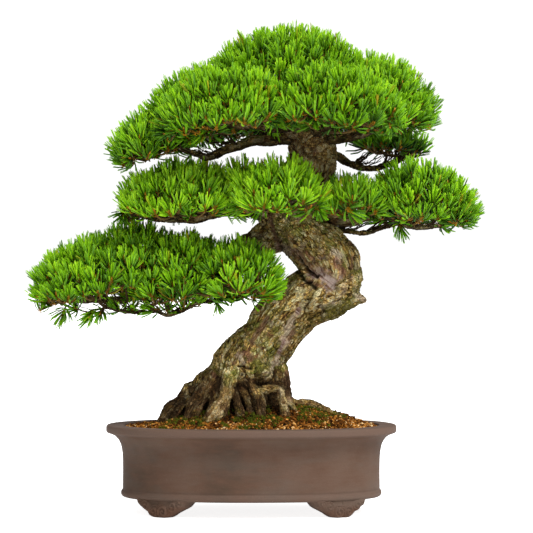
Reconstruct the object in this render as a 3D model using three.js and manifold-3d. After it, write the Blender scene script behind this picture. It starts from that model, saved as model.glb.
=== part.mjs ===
// A Japanese white pine grown as an informal upright bonsai, planted in an oval unglazed pot.
//
// Frame: millimetres, +Z up, X across the front, Y towards the back. The origin is on the ground
// under the middle of the tree and pot, so the four feet stand on z = 0.
//
// Pieces: the fired pot with its feet, the screens and wires that a bonsai pot holds inside, the
// drainage layer, the soil mound, moss, the trunk with its surface roots, the main branches, and
// one closed solid for the space that each pad of needles fills.
import * as THREE from "three";
import { mergeVertices } from "three/addons/utils/BufferGeometryUtils.js";
import Module from "manifold-3d";

const wasm = await Module();
wasm.setup();

// ---------------------------------------------------------------- driving dimensions
const POT = {
  halfLength: 246.5, // rim, along X
  halfDepth: 182, // rim, along Y
  rimTop: 148,
  lipHeight: 13,
  rimWidth: 30,
  bodyInset: 28.5, // how far the wall stands in from the rim
  wall: 12,
  floorBottom: 27,
  floorTop: 41,
  roundness: 2.3, // exponent of the oval: 2 is an ellipse, more is squarer
};
const FOOT = {
  angle: 48.5, // degrees, where the middle of the foot is, as the oval's own angle
  innerShare: 0.84, // at the top, the inner face is this share of the way out to the outer one
  innerShareLow: 0.92, // and on the ground
  height: 30,
  outerInset: 29,
  outerShare: 0.9, // the half towards the end of the pot is shorter
  edge: [
    [11, 0],
    [16, 1],
    [22, 4],
    [30, 9],
    [38, 14],
    [47, 18],
    [56, 27],
  ], // distance from the middle of the foot, height of its lower edge
};
const DRAIN = {
  x: 95,
  radius: 12,
  screenSide: 44,
  screenCells: 4,
  cellOpening: 0.68, // the open share of a cell's pitch
  screenThickness: 2,
  wireRadius: 0.9,
};
const TIE_HOLE = { x: 150, y: 40, radius: 3.5, wireRadius: 1.25 };
const SOIL = {
  edgeTop: 143,
  moundX: 42, // where the mound is highest
  moundHeight: 40,
  spreadX: 130,
  spreadY: 105,
  reachX: 217, // where the mound meets the inside of the rim
  reachY: 152,
};
const DRAINAGE_TOP = 62;
const GAP = 0.4; // clearance between pieces that touch
const PAD_GAP = 1.5; // clearance round the wood inside a pad
const MOSS_THICKNESS = 3;
const PAD_SWELL = 0.035; // how much each pad bulges and narrows round its edge

// ---------------------------------------------------------------- colours
const COLOURS = {
  clay: [0.23, 0.15, 0.115],
  mesh: [0.05, 0.05, 0.05],
  wire: [0.42, 0.3, 0.22],
  pumice: [0.62, 0.56, 0.46],
  soil: [0.3, 0.17, 0.07],
  moss: [0.11, 0.19, 0.03],
  bark: [0.27, 0.22, 0.14],
  needles: [0.16, 0.42, 0.03],
};
const ROUGHNESS = {
  clay: 0.62,
  mesh: 0.6,
  wire: 0.4,
  pumice: 0.95,
  soil: 0.95,
  moss: 0.9,
  bark: 0.9,
  needles: 0.5,
};

function material(name) {
  return new THREE.MeshStandardMaterial({
    color: new THREE.Color(...COLOURS[name]),
    roughness: ROUGHNESS[name],
    metalness: name === "wire" ? 0.9 : 0,
  });
}

// ---------------------------------------------------------------- solids and meshes
function toSolid(geometry) {
  const bare = geometry.clone();
  bare.deleteAttribute("normal");
  bare.deleteAttribute("uv");
  const merged = mergeVertices(bare, 1e-4);
  return new wasm.Manifold(
    new wasm.Mesh({
      numProp: 3,
      vertProperties: merged.attributes.position.array,
      triVerts: new Uint32Array(merged.index.array),
    }),
  );
}

function toGeometry(solid) {
  const mesh = solid.getMesh();
  const geometry = new THREE.BufferGeometry();
  geometry.setAttribute("position", new THREE.BufferAttribute(new Float32Array(mesh.vertProperties), 3));
  geometry.setIndex(new THREE.BufferAttribute(new Uint32Array(mesh.triVerts), 1));
  geometry.computeVertexNormals();
  return geometry;
}

const bonsai = new THREE.Group();

function addNode(name, solid, colour) {
  const mesh = new THREE.Mesh(toGeometry(solid), material(colour));
  mesh.name = name;
  bonsai.add(mesh);
}

// A closed skin over rings of points, all with the same count, and a middle point at each end.
function skin(rings, firstMiddle, lastMiddle) {
  const sides = rings[0].length;
  const positions = [firstMiddle, ...rings.flat(), lastMiddle].flatMap((p) => [p.x, p.y, p.z]);
  const last = rings.length * sides + 1;
  const at = (ring, side) => 1 + ring * sides + (side % sides);
  const index = [];
  for (let side = 0; side < sides; side++) {
    index.push(0, at(0, side + 1), at(0, side));
    for (let ring = 0; ring + 1 < rings.length; ring++) {
      index.push(at(ring, side), at(ring, side + 1), at(ring + 1, side + 1));
      index.push(at(ring, side), at(ring + 1, side + 1), at(ring + 1, side));
    }
    index.push(at(rings.length - 1, side), at(rings.length - 1, side + 1), last);
  }
  const geometry = new THREE.BufferGeometry();
  geometry.setAttribute("position", new THREE.Float32BufferAttribute(positions, 3));
  geometry.setIndex(index);
  return toSolid(geometry);
}

// ---------------------------------------------------------------- ovals
function ovalPoint(halfX, halfY, angle, z) {
  const power = 2 / POT.roundness;
  const bend = (value) => Math.sign(value) * Math.abs(value) ** power;
  return new THREE.Vector3(halfX * bend(Math.cos(angle)), halfY * bend(Math.sin(angle)), z);
}

// One ring of the pot's oval, stepped in from the rim by inset.
function ovalRing(inset, z, segments) {
  return Array.from({ length: segments }, (_, k) =>
    ovalPoint(POT.halfLength - inset, POT.halfDepth - inset, (2 * Math.PI * k) / segments, z),
  );
}

function ovalLoft(profile, segments) {
  const rings = profile.map(([inset, z]) => ovalRing(inset, z, segments));
  const middle = ([, z]) => new THREE.Vector3(0, 0, z);
  return skin(rings, middle(profile[0]), middle(profile.at(-1)));
}

// ---------------------------------------------------------------- limbs
// A tapering stem through points of [x, y, z, radius], with rounded ends. grow thickens it all over.
function limb(points, { sides = 8, steps = 3, grow = 0, shape = () => 1 } = {}) {
  const places = points.map(([x, y, z]) => new THREE.Vector3(x, y, z));
  const curve = new THREE.CatmullRomCurve3(places, false, "centripetal");
  const count = (points.length - 1) * steps;
  const frames = curve.computeFrenetFrames(count, false);
  const rings = [];
  for (let k = 0; k <= count; k++) {
    const centre = curve.getPointAt(k / count);
    const along = curve.getUtoTmapping(k / count) * (points.length - 1);
    const from = Math.min(Math.floor(along), points.length - 2);
    const radius = THREE.MathUtils.lerp(points[from][3], points[from + 1][3], along - from);
    rings.push(
      Array.from({ length: sides }, (_, side) => {
        const angle = (2 * Math.PI * side) / sides;
        const reach = radius * shape(k / count, angle) + grow;
        return centre
          .clone()
          .addScaledVector(frames.normals[k], reach * Math.cos(angle))
          .addScaledVector(frames.binormals[k], reach * Math.sin(angle));
      }),
    );
  }
  const capLength = (radius) => 0.5 * radius + grow;
  const first = curve.getPointAt(0).addScaledVector(frames.tangents[0], -capLength(points[0][3]));
  const last = curve.getPointAt(1).addScaledVector(frames.tangents[count], capLength(points.at(-1)[3]));
  return skin(rings, first, last);
}

function union(solids) {
  return solids.reduce((joined, solid) => joined.add(solid));
}

// ---------------------------------------------------------------- the pot
// The point of an oval that lies a given distance along it from a starting angle.
function ovalAlong(inset, startAngle, distance) {
  const halfX = POT.halfLength - inset;
  const halfY = POT.halfDepth - inset;
  const turn = Math.sign(distance) * 0.004;
  let angle = startAngle;
  let point = ovalPoint(halfX, halfY, angle, 0);
  let walked = 0;
  while (walked < Math.abs(distance)) {
    angle += turn;
    const next = ovalPoint(halfX, halfY, angle, 0);
    walked += next.distanceTo(point);
    point = next;
  }
  return point;
}

// A cloud foot: a curved plate under the wall, its lower edge stepping up away from the middle.
function footSolid(signX, signY) {
  const lean = THREE.MathUtils.degToRad(FOOT.angle);
  const middle = Math.atan2(signY * Math.sin(lean), signX * Math.cos(lean));
  const towardsFront = -signX * signY;
  const steps = [];
  for (const side of [-1, 1]) {
    const reach = side === towardsFront ? 1 : FOOT.outerShare;
    const half = FOOT.edge.map(([away, height]) => [side * away * reach, height]);
    steps.push(...(side < 0 ? half.reverse() : half));
  }
  const rings = steps.map(([along, height]) => {
    const outer = ovalAlong(FOOT.outerInset, middle, along);
    const inner = outer.clone().multiplyScalar(FOOT.innerShare);
    const lowShare = THREE.MathUtils.lerp(FOOT.innerShareLow, FOOT.innerShare, height / FOOT.height);
    return [
      outer.clone().setZ(height),
      outer.clone().multiplyScalar(lowShare).setZ(height),
      inner.clone().setZ(FOOT.height + 1),
      outer.clone().setZ(FOOT.height + 1),
    ];
  });
  const centreOf = (ring) => ring.reduce((sum, p) => sum.add(p), new THREE.Vector3()).divideScalar(ring.length);
  return skin(rings, centreOf(rings[0]), centreOf(rings.at(-1)));
}

function verticalRod(x, y, radius, bottom, top, segments = 16) {
  const geometry = new THREE.CylinderGeometry(radius, radius, top - bottom, segments);
  geometry.rotateX(Math.PI / 2);
  geometry.translate(x, y, (bottom + top) / 2);
  return toSolid(geometry);
}

const CORNERS = [
  [1, 1],
  [1, -1],
  [-1, 1],
  [-1, -1],
];

function potSolid() {
  const body = POT.bodyInset;
  const inner = body + POT.wall;
  const lipBottom = POT.rimTop - POT.lipHeight;
  const profile = [
    [body + 9, POT.floorBottom],
    [body + 1, POT.floorBottom + 0.6],
    [body - 2.6, POT.floorBottom + 4],
    [body - 2.6, POT.floorBottom + 9],
    [body, POT.floorBottom + 13],
    [body, 80],
    [body - 1.5, 105],
    [body - 5, 120],
    [body - 12, lipBottom - 4],
    [4, lipBottom],
    [0.5, lipBottom + 2.5],
    [0, POT.rimTop - 3],
    [1.6, POT.rimTop - 0.6],
    [4, POT.rimTop],
    [POT.rimWidth - 2, POT.rimTop],
    [POT.rimWidth, POT.rimTop - 2],
    [inner - 7, 126],
    [inner - 1, 106],
    [inner, 80],
    [inner, POT.floorTop + 8],
    [inner + 8, POT.floorTop],
  ];
  let pot = ovalLoft(profile, 48);
  for (const [signX, signY] of CORNERS) pot = pot.add(footSolid(signX, signY));
  for (const side of [-1, 1]) {
    pot = pot.subtract(verticalRod(side * DRAIN.x, 0, DRAIN.radius, 20, 60));
  }
  for (const [signX, signY] of CORNERS) {
    pot = pot.subtract(verticalRod(signX * TIE_HOLE.x, signY * TIE_HOLE.y, TIE_HOLE.radius, 20, 60, 8));
  }
  return pot;
}

// ---------------------------------------------------------------- inside the pot
function boxSolid(x, y, z, sizeX, sizeY, sizeZ) {
  const geometry = new THREE.BoxGeometry(sizeX, sizeY, sizeZ);
  geometry.translate(x, y, z);
  return toSolid(geometry);
}

function screenSolid(side) {
  const z = POT.floorTop + GAP + DRAIN.screenThickness / 2;
  const cells = DRAIN.screenCells;
  const pitch = DRAIN.screenSide / cells;
  let screen = boxSolid(side * DRAIN.x, 0, z, DRAIN.screenSide, DRAIN.screenSide, DRAIN.screenThickness);
  for (let row = 0; row < cells; row++) {
    for (let column = 0; column < cells; column++) {
      const x = side * DRAIN.x + (column - (cells - 1) / 2) * pitch;
      const y = (row - (cells - 1) / 2) * pitch;
      const open = pitch * DRAIN.cellOpening;
      screen = screen.subtract(boxSolid(x, y, z, open, open, DRAIN.screenThickness * 2));
    }
  }
  return screen;
}

// The staple that holds a screen: over one bar of the mesh, down through the cells on either side
// of it and the drainage hole, and out under the floor.
function screenWirePoints(side) {
  const x = side * DRAIN.x;
  const r = DRAIN.wireRadius;
  const leg = DRAIN.screenSide / DRAIN.screenCells / 2;
  const y = leg;
  const top = POT.floorTop + DRAIN.screenThickness + r + 2 * GAP;
  const low = POT.floorBottom - r - GAP;
  const end = DRAIN.radius + 10;
  const downOneSide = (away) => [
    [x + away * end, y, low, r],
    [x + away * (leg + 4), y, low, r],
    [x + away * leg, y, low + 4, r],
    [x + away * leg, y, top - 3, r],
    [x + away * (leg - 2), y, top, r],
  ];
  return [...downOneSide(-1), ...downOneSide(1).reverse()];
}

// The wire that ties the root ball down: up through two holes of one side and over the roots.
function tieWirePoints(side) {
  const x = side * TIE_HOLE.x;
  const r = TIE_HOLE.wireRadius;
  const low = POT.floorBottom - r - GAP;
  return [
    [x, TIE_HOLE.y - 14, low, r],
    [x, TIE_HOLE.y - 3, low, r],
    [x, TIE_HOLE.y, low + 3, r],
    [x, TIE_HOLE.y, POT.floorTop + 4, r],
    [x, TIE_HOLE.y, 70, r],
    [x - side * 30, TIE_HOLE.y - 8, 112, r],
    [x - side * 36, 0, 120, r],
    [x - side * 30, 8 - TIE_HOLE.y, 112, r],
    [x, -TIE_HOLE.y, 70, r],
    [x, -TIE_HOLE.y, POT.floorTop + 4, r],
    [x, -TIE_HOLE.y, low + 3, r],
    [x, 3 - TIE_HOLE.y, low, r],
    [x, 14 - TIE_HOLE.y, low, r],
  ];
}

const innerInset = POT.bodyInset + POT.wall + GAP;

function drainageSolid() {
  return ovalLoft(
    [
      [innerInset + 9, POT.floorTop + GAP],
      [innerInset, POT.floorTop + 9],
      [innerInset, DRAINAGE_TOP],
    ],
    36,
  );
}

function moundHeight(x, y) {
  const away = ((x - SOIL.moundX) / SOIL.spreadX) ** 2 + (y / SOIL.spreadY) ** 2;
  const edge = (Math.abs(x) / SOIL.reachX) ** POT.roundness + (Math.abs(y) / SOIL.reachY) ** POT.roundness;
  return SOIL.edgeTop + (SOIL.moundHeight * Math.exp(-away) + 3) * Math.max(0, 1 - edge ** 4);
}

function soilSolid() {
  const segments = 24;
  const soilInset = POT.rimWidth + 1.2;
  const wallRings = [
    [innerInset, DRAINAGE_TOP + GAP],
    [innerInset, 106],
    [innerInset - 7, 126],
    [soilInset, SOIL.edgeTop],
  ].map(([inset, z]) => ovalRing(inset, z, segments));
  const topHalfX = POT.halfLength - soilInset;
  const topHalfY = POT.halfDepth - soilInset;
  const moundRings = [0.88, 0.72, 0.54, 0.36, 0.18].map((share) =>
    Array.from({ length: segments }, (_, k) => {
      const p = ovalPoint(topHalfX * share, topHalfY * share, (2 * Math.PI * k) / segments, 0);
      p.z = moundHeight(p.x, p.y);
      return p;
    }),
  );
  const bottom = new THREE.Vector3(0, 0, DRAINAGE_TOP + GAP);
  const peak = new THREE.Vector3(0, 0, moundHeight(0, 0));
  return skin([...wallRings, ...moundRings], bottom, peak);
}

// ---------------------------------------------------------------- trunk and roots
const TRUNK = [
  [-24, 2, 120, 56],
  [-26, 2, 160, 58],
  [-20, 0, 197, 56],
  [-9, -4, 243, 54],
  [17, -6, 282, 48.5],
  [45, -9, 316, 46],
  [79, -14, 350, 46],
  [115, -20, 375, 53],
  [134, -21, 407, 55],
  [116, -15, 444, 49],
  [83, -7, 475, 46],
  [57, 0, 504, 45],
  [66, 4, 536, 44],
  [91, 6, 566, 43],
  [103, 4, 597, 41],
  [101, 0, 628, 39],
  [93, -4, 658, 31],
  [83, -7, 690, 23],
  [78, -7, 724, 15],
  [76, -5, 752, 7],
];
const STUB = [
  [148, -24, 364, 22],
  [166, -28, 360, 13],
  [178, -31, 358, 8],
  [190, -33, 361, 3.5],
];
const SWELLINGS = [
  // the round outside of the bend
  [[128, -22, 388, 40], [139, -22, 370, 44], [141, -22, 352, 34]],
  // the shoulder that the lower left branch grows from
  [[70, -2, 486, 42], [44, 0, 468, 30], [14, 6, 457, 20], [-14, 12, 451, 15]],
  // the buttress down the right side of the base
  [[20, -2, 262, 26], [33, -4, 236, 27], [40, -5, 208, 27], [42, -6, 180, 26], [44, -6, 148, 24]],
];
const ROOTS = [
  // left roots, the outer edge of the flare
  [[-52, -4, 246, 26], [-86, -10, 206, 21], [-110, -18, 187, 17], [-131, -24, 168, 13], [-152, -30, 142, 9]],
  [[-54, -26, 232, 20], [-80, -46, 202, 15], [-98, -58, 176, 12], [-114, -66, 148, 9]],
  // front root with its swollen foot
  [[-24, -40, 252, 17], [-37, -56, 222, 13], [-46, -70, 192, 12], [-58, -80, 172, 15], [-76, -88, 152, 11]],
  [[-14, -44, 238, 9], [0, -58, 216, 8], [10, -66, 196, 10], [18, -78, 152, 7]],
  // small arching root on the right of the front
  [[6, -40, 206, 7], [24, -62, 209, 5.5], [38, -68, 212, 5], [50, -70, 206, 4.5], [58, -74, 158, 5]],
  // long root that runs over the mound to the right
  [[48, -8, 196, 12], [74, -11, 184, 8], [98, -16, 182, 7], [124, -21, 173, 6.5], [152, -22, 158, 4.5]],
  // back roots
  [[-40, 36, 236, 22], [-60, 60, 204, 17], [-80, 82, 174, 13], [-96, 100, 144, 9]],
  [[10, 38, 230, 20], [34, 62, 200, 15], [54, 86, 172, 11], [70, 106, 142, 8]],
  [[-58, 20, 228, 20], [-92, 34, 196, 16], [-120, 46, 168, 12], [-146, 56, 138, 8]],
];

// The trunk is slightly oval and fluted low down, where the roots run into it.
function trunkShape(along, angle) {
  const flute = 0.07 * Math.max(0, 1 - 3 * along);
  return 1 + flute * Math.cos(5 * angle + 1) + 0.04 * Math.cos(2 * angle + 9 * along);
}

function trunkSolid(grow = 0) {
  const stem = limb(TRUNK, { sides: 13, steps: 2, grow, shape: trunkShape });
  const stub = limb(STUB, { sides: 8, steps: 1, grow });
  const swellings = SWELLINGS.map((points) => limb(points, { sides: 10, steps: 2, grow }));
  const roots = ROOTS.map((root) => limb(root, { sides: 6, steps: 2, grow }));
  return union([stem, stub, ...swellings, ...roots]);
}

// ---------------------------------------------------------------- branches
const BRANCHES = {
  branch_lower_left: [
    [30, 4, 474, 19],
    [-19, 14, 449, 15],
    [-67, 12, 423, 12],
    [-118, 2, 394, 10],
    [-172, -6, 372, 8],
    [-232, -10, 360, 6],
    [-291, -10, 360, 4.5],
    [-340, -6, 364, 3],
  ],
  branch_lower_front: [
    [22, -24, 452, 11],
    [-4, -52, 428, 8.5],
    [-30, -68, 404, 7],
    [-62, -76, 384, 5.5],
    [-90, -80, 370, 4],
  ],
  branch_lower_under: [
    [-12, 4, 440, 6],
    [-2, -26, 404, 5.5],
    [-14, -46, 366, 5],
    [-46, -54, 360, 4.5],
    [-84, -56, 356, 4],
    [-110, -56, 345, 4],
    [-139, -56, 334, 3.5],
    [-160, -54, 340, 3.5],
    [-200, -50, 339, 3],
    [-244, -46, 346, 2.5],
  ],
  branch_middle_left: [
    [34, -12, 506, 13],
    [-11, -30, 507, 9.5],
    [-50, -42, 508, 8.5],
    [-79, -48, 498, 7.5],
    [-113, -52, 494, 6],
    [-155, -55, 495, 4.5],
    [-198, -56, 506, 3],
  ],
  branch_middle_front: [
    [52, -20, 516, 12],
    [45, -62, 519, 9],
    [44, -100, 515, 7],
    [56, -130, 518, 5],
    [74, -154, 524, 3],
  ],
  branch_middle_right: [
    [72, -4, 512, 13],
    [133, -12, 497, 10],
    [171, -18, 494, 8.5],
    [210, -22, 503, 7.5],
    [239, -25, 499, 6.5],
    [260, -28, 487, 5.5],
    [286, -30, 482, 4.5],
    [322, -30, 486, 3],
  ],
  branch_middle_right_rear: [
    [92, 14, 490, 7],
    [133, 22, 481, 4.8],
    [188, 28, 474, 4],
    [233, 34, 485, 3.5],
    [280, 40, 498, 3],
  ],
  branch_middle_back: [
    [70, 20, 520, 12],
    [72, 66, 520, 9],
    [66, 106, 515, 7],
    [54, 146, 521, 4],
  ],
  branch_upper_right: [
    [108, 16, 608, 11],
    [144, 30, 603, 8],
    [161, 38, 596, 6.5],
    [178, 47, 589, 5.5],
    [206, 58, 585, 5],
    [228, 68, 589, 4.5],
    [253, 75, 602, 3.5],
    [276, 79, 616, 2.5],
  ],
  branch_crown_left: [
    [92, -4, 640, 15],
    [38, -20, 631, 10],
    [6, -30, 628, 8.5],
    [-26, -38, 619, 7.5],
    [-58, -45, 606, 6.5],
    [-76, -48, 601, 6],
    [-99, -50, 607, 5],
    [-130, -48, 615, 4.2],
    [-170, -40, 610, 3.5],
    [-206, -34, 601, 3],
  ],
  branch_crown_front_left: [
    [84, -16, 652, 11],
    [40, -62, 648, 8],
    [-10, -98, 650, 6.5],
    [-56, -122, 656, 5],
    [-92, -134, 664, 3],
  ],
  branch_crown_front_right: [
    [102, -20, 642, 11],
    [118, -66, 646, 8],
    [130, -104, 652, 6],
    [140, -140, 662, 4],
  ],
  branch_crown_right: [
    [106, -6, 630, 12],
    [146, -34, 630, 8],
    [176, -44, 636, 7],
    [208, -44, 648, 5.5],
    [244, -30, 664, 4.5],
    [284, -14, 680, 3],
  ],
  branch_crown_back_left: [
    [84, 12, 656, 11],
    [40, 60, 650, 8],
    [-10, 96, 652, 6.5],
    [-60, 122, 660, 4],
  ],
  branch_crown_back_right: [
    [98, 14, 650, 11],
    [116, 62, 652, 8],
    [134, 100, 658, 6],
    [152, 138, 668, 4],
  ],
};

// ---------------------------------------------------------------- pads of needles
// Each pad is a dome: centre of its base, half sizes, height above and depth below, and how far it
// leans down to one side, in degrees. Later pads give way to earlier ones.
const PADS = {
  foliage_crown_apex: { at: [64, 0, 700], half: [160, 150], up: 130, down: 24, lean: 0 },
  foliage_crown_left: { at: [-58, 20, 644], half: [138, 140], up: 124, down: 16, lean: -9 },
  foliage_crown_left_tip: { at: [-166, -18, 607], half: [84, 94], up: 80, down: 12, lean: -13 },
  foliage_crown_right: { at: [190, 2, 668], half: [140, 136], up: 116, down: 14, lean: 6 },
  foliage_crown_front_left: { at: [-36, -128, 650], half: [132, 108], up: 102, down: 14, lean: -6 },
  foliage_crown_front_right: { at: [132, -132, 654], half: [138, 106], up: 102, down: 14, lean: 5 },
  foliage_crown_back_left: { at: [-34, 138, 648], half: [130, 102], up: 104, down: 22, lean: -5 },
  foliage_crown_back_right: { at: [136, 140, 652], half: [136, 100], up: 100, down: 22, lean: 5 },
  foliage_upper_right: { at: [238, 76, 620], half: [80, 74], up: 38, down: 8, lean: 6 },
  foliage_middle_left: { at: [-115, -46, 507], half: [127, 118], up: 93, down: 10, lean: -3 },
  foliage_middle_left_inner: { at: [-14, -70, 522], half: [58, 66], up: 88, down: 14, lean: 0 },
  foliage_middle_front: { at: [46, -118, 512], half: [96, 84], up: 92, down: 12, lean: 0 },
  foliage_middle_right: { at: [282, -24, 497], half: [115, 118], up: 103, down: 12, lean: 4 },
  foliage_middle_right_inner: { at: [170, -58, 510], half: [72, 84], up: 66, down: 8, lean: 0 },
  foliage_middle_back: { at: [62, 124, 512], half: [104, 92], up: 78, down: 14, lean: 0 },
  foliage_lower_left_outer: { at: [-260, -12, 374], half: [127, 120], up: 98, down: 16, lean: -12 },
  foliage_lower_left_second: { at: [-196, -4, 388], half: [108, 126], up: 108, down: 26, lean: -8 },
  foliage_lower_left_middle: { at: [-120, -10, 372], half: [110, 134], up: 110, down: 34, lean: -2 },
  foliage_lower_left_inner: { at: [-24, -76, 374], half: [86, 82], up: 94, down: 26, lean: 2 },
};

function padSolid({ at, half, up, down, lean }, order) {
  const geometry = new THREE.SphereGeometry(1, 12, 7);
  geometry.rotateX(Math.PI / 2);
  const position = geometry.attributes.position;
  for (let k = 0; k < position.count; k++) {
    const [x, y, z] = [position.getX(k), position.getY(k), position.getZ(k)];
    const swell = 1 + PAD_SWELL * Math.sin(3 * Math.atan2(y, x) + order) * (1 - z * z);
    position.setXYZ(k, half[0] * x * swell, half[1] * y * swell, (z > 0 ? up : down) * z);
  }
  geometry.rotateY(THREE.MathUtils.degToRad(lean));
  geometry.translate(...at);
  return toSolid(geometry);
}

// ---------------------------------------------------------------- assembly
function largestPiece(solid) {
  return solid.decompose().reduce((best, piece) => (piece.volume() > best.volume() ? piece : best));
}

function buildPot() {
  addNode("pot", potSolid(), "clay");
}

function buildInside(trunkRoom) {
  const sides = { left: -1, right: 1 };
  const rooms = [];
  for (const [name, side] of Object.entries(sides)) {
    const screen = screenSolid(side);
    const staple = limb(screenWirePoints(side), { sides: 6, steps: 2 });
    const tie = limb(tieWirePoints(side), { sides: 6, steps: 2 });
    addNode(`drainage_screen_${name}`, screen, "mesh");
    addNode(`screen_wire_${name}`, staple, "wire");
    addNode(`root_tie_wire_${name}`, tie, "wire");
    const cornerReach = DRAIN.screenSide * 0.74;
    const room = verticalRod(side * DRAIN.x, 0, cornerReach, POT.floorTop - 1, POT.floorTop + 6, 12);
    rooms.push(room, limb(tieWirePoints(side), { sides: 6, steps: 2, grow: GAP }));
  }
  const insideRoom = union(rooms);
  addNode("drainage_layer", drainageSolid().subtract(insideRoom), "pumice");
  const soil = soilSolid();
  addNode("soil", soil.subtract(insideRoom).subtract(trunkRoom), "soil");
  return soil;
}

const MOSS = {
  moss_left: { x: -108, y: -62, radius: 44 },
  moss_front: { x: 6, y: -98, radius: 36 },
  moss_right: { x: 112, y: -40, radius: 40 },
};

function buildMoss(soil, trunkRoom) {
  for (const [name, { x, y, radius }] of Object.entries(MOSS)) {
    const column = verticalRod(x, y, radius, 100, 260, 12);
    const patch = soil
      .translate([0, 0, GAP + MOSS_THICKNESS])
      .intersect(column)
      .subtract(soil.translate([0, 0, GAP]))
      .subtract(trunkRoom);
    addNode(name, largestPiece(patch), "moss");
  }
}

function buildBranches(trunkRoom) {
  const taken = [];
  for (const [name, points] of Object.entries(BRANCHES)) {
    let branch = limb(points, { sides: 8, steps: 2 }).subtract(trunkRoom);
    for (const other of taken) branch = branch.subtract(other);
    addNode(name, largestPiece(branch), "bark");
    taken.push(limb(points, { sides: 8, steps: 2, grow: GAP }));
  }
}

function buildPads() {
  const branches = Object.values(BRANCHES).map((points) => limb(points, { sides: 8, steps: 2, grow: PAD_GAP }));
  const woodRoom = union([trunkSolid(PAD_GAP), ...branches]);
  const earlier = [];
  for (const [name, pad] of Object.entries(PADS)) {
    const whole = padSolid(pad, earlier.length);
    let cut = whole.subtract(woodRoom);
    for (const other of earlier) cut = cut.subtract(other);
    addNode(name, largestPiece(cut), "needles");
    const wider = { ...pad, half: pad.half.map((h) => h + GAP), up: pad.up + GAP, down: pad.down + GAP };
    earlier.push(padSolid(wider, earlier.length));
  }
}

const trunkRoom = trunkSolid(GAP);
buildPot();
const soil = buildInside(trunkRoom);
addNode("trunk", trunkSolid(), "bark");
buildMoss(soil, trunkRoom);
buildBranches(trunkRoom);
buildPads();

export default bonsai;
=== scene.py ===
"""An old white pine grown as a bonsai in an oval unglazed pot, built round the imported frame.

Everything is in metres in the frame's own axes: +X right, +Y back, +Z up. Tables are in millimetres,
like the CAD part's, and MM turns them into metres.
"""
import math

import bpy
import numpy as np
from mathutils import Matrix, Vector
from mathutils.kdtree import KDTree


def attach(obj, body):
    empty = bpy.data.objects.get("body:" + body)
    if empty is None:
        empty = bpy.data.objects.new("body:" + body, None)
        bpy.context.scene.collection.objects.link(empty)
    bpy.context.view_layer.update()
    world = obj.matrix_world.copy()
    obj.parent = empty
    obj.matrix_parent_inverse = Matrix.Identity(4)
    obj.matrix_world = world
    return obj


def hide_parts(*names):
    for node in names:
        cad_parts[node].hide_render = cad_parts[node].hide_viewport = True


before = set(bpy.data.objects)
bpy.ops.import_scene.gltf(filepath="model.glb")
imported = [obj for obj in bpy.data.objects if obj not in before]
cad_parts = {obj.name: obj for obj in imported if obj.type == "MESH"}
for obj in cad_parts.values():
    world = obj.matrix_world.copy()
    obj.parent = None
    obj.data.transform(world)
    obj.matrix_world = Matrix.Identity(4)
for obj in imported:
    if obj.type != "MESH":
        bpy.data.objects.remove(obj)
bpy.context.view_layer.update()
MM = 0.001
UP = np.array([0.0, 0.0, 1.0])
GOLDEN_ANGLE = 2.39996
THIRD_TURN = 2.0944

# ------------------------------------------------------------------ sizes shared with the CAD part
# The pot's half length and half depth at its rim. Its body and its feet are steps in from there.
POT = {"length": 246.5, "depth": 182, "rim_top": 148, "roundness": 2.3, "body": 28.5, "wall": 12, "floor": 27}
FOOT = {
    "angle": 48.5, "inner": 0.84, "inner_low": 0.92, "height": 30, "inset": 29,
    "outer_share": 0.9, "inner_share": 0.94, "reach": 56, "scroll_pitch": 6.4, "relief": 3.0,
}
# The lower edge of a foot: distance from its middle, and height.
FOOT_EDGE = [
    [0, 0], [10, 0], [13, 0.4], [17, 1.6], [22, 4.2], [27, 8],
    [32, 10.4], [38, 13.4], [43, 15.4], [49, 19], [56, 28],
]
# The scrolls on each side of a foot: distance from its middle, height, size, turn and strength.
SCROLLS = [(10, 10, 10.5, 1, 1.0), (29, 19.5, 8.5, -1, 0.8), (43, 24, 5, 1, 0.7)]
# The soil's half length and half depth, its height at the edge, and the mound under the tree.
SOIL = {"length": 217, "depth": 152, "edge": 143, "mound_x": 42, "mound": 40, "spread_x": 130, "spread_y": 105}
# Middle lines of limbs: x, y, z and radius.
TRUNK = [
    [-24, 2, 120, 56],
    [-26, 2, 160, 58],
    [-20, 0, 197, 56],
    [-12, -4, 243, 55],
    [19, -6, 282, 47.5],
    [49, -9, 316, 45],
    [79, -14, 350, 46],
    [115, -20, 375, 53],
    [134, -21, 407, 55],
    [113, -15, 444, 48],
    [83, -7, 475, 46],
    [57, 0, 504, 45],
    [66, 4, 536, 44],
    [91, 6, 566, 43],
    [103, 4, 597, 41],
    [101, 0, 628, 39],
    [93, -4, 658, 31],
    [83, -7, 690, 23],
    [78, -7, 724, 15],
    [76, -5, 752, 7],
]
STUB = [
    [140, -22, 366, 30],
    [160, -27, 363, 21],
    [176, -31, 361, 11.5],
    [186, -33, 361, 5.5],
    [192, -34, 361, 2.2],
]
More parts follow.
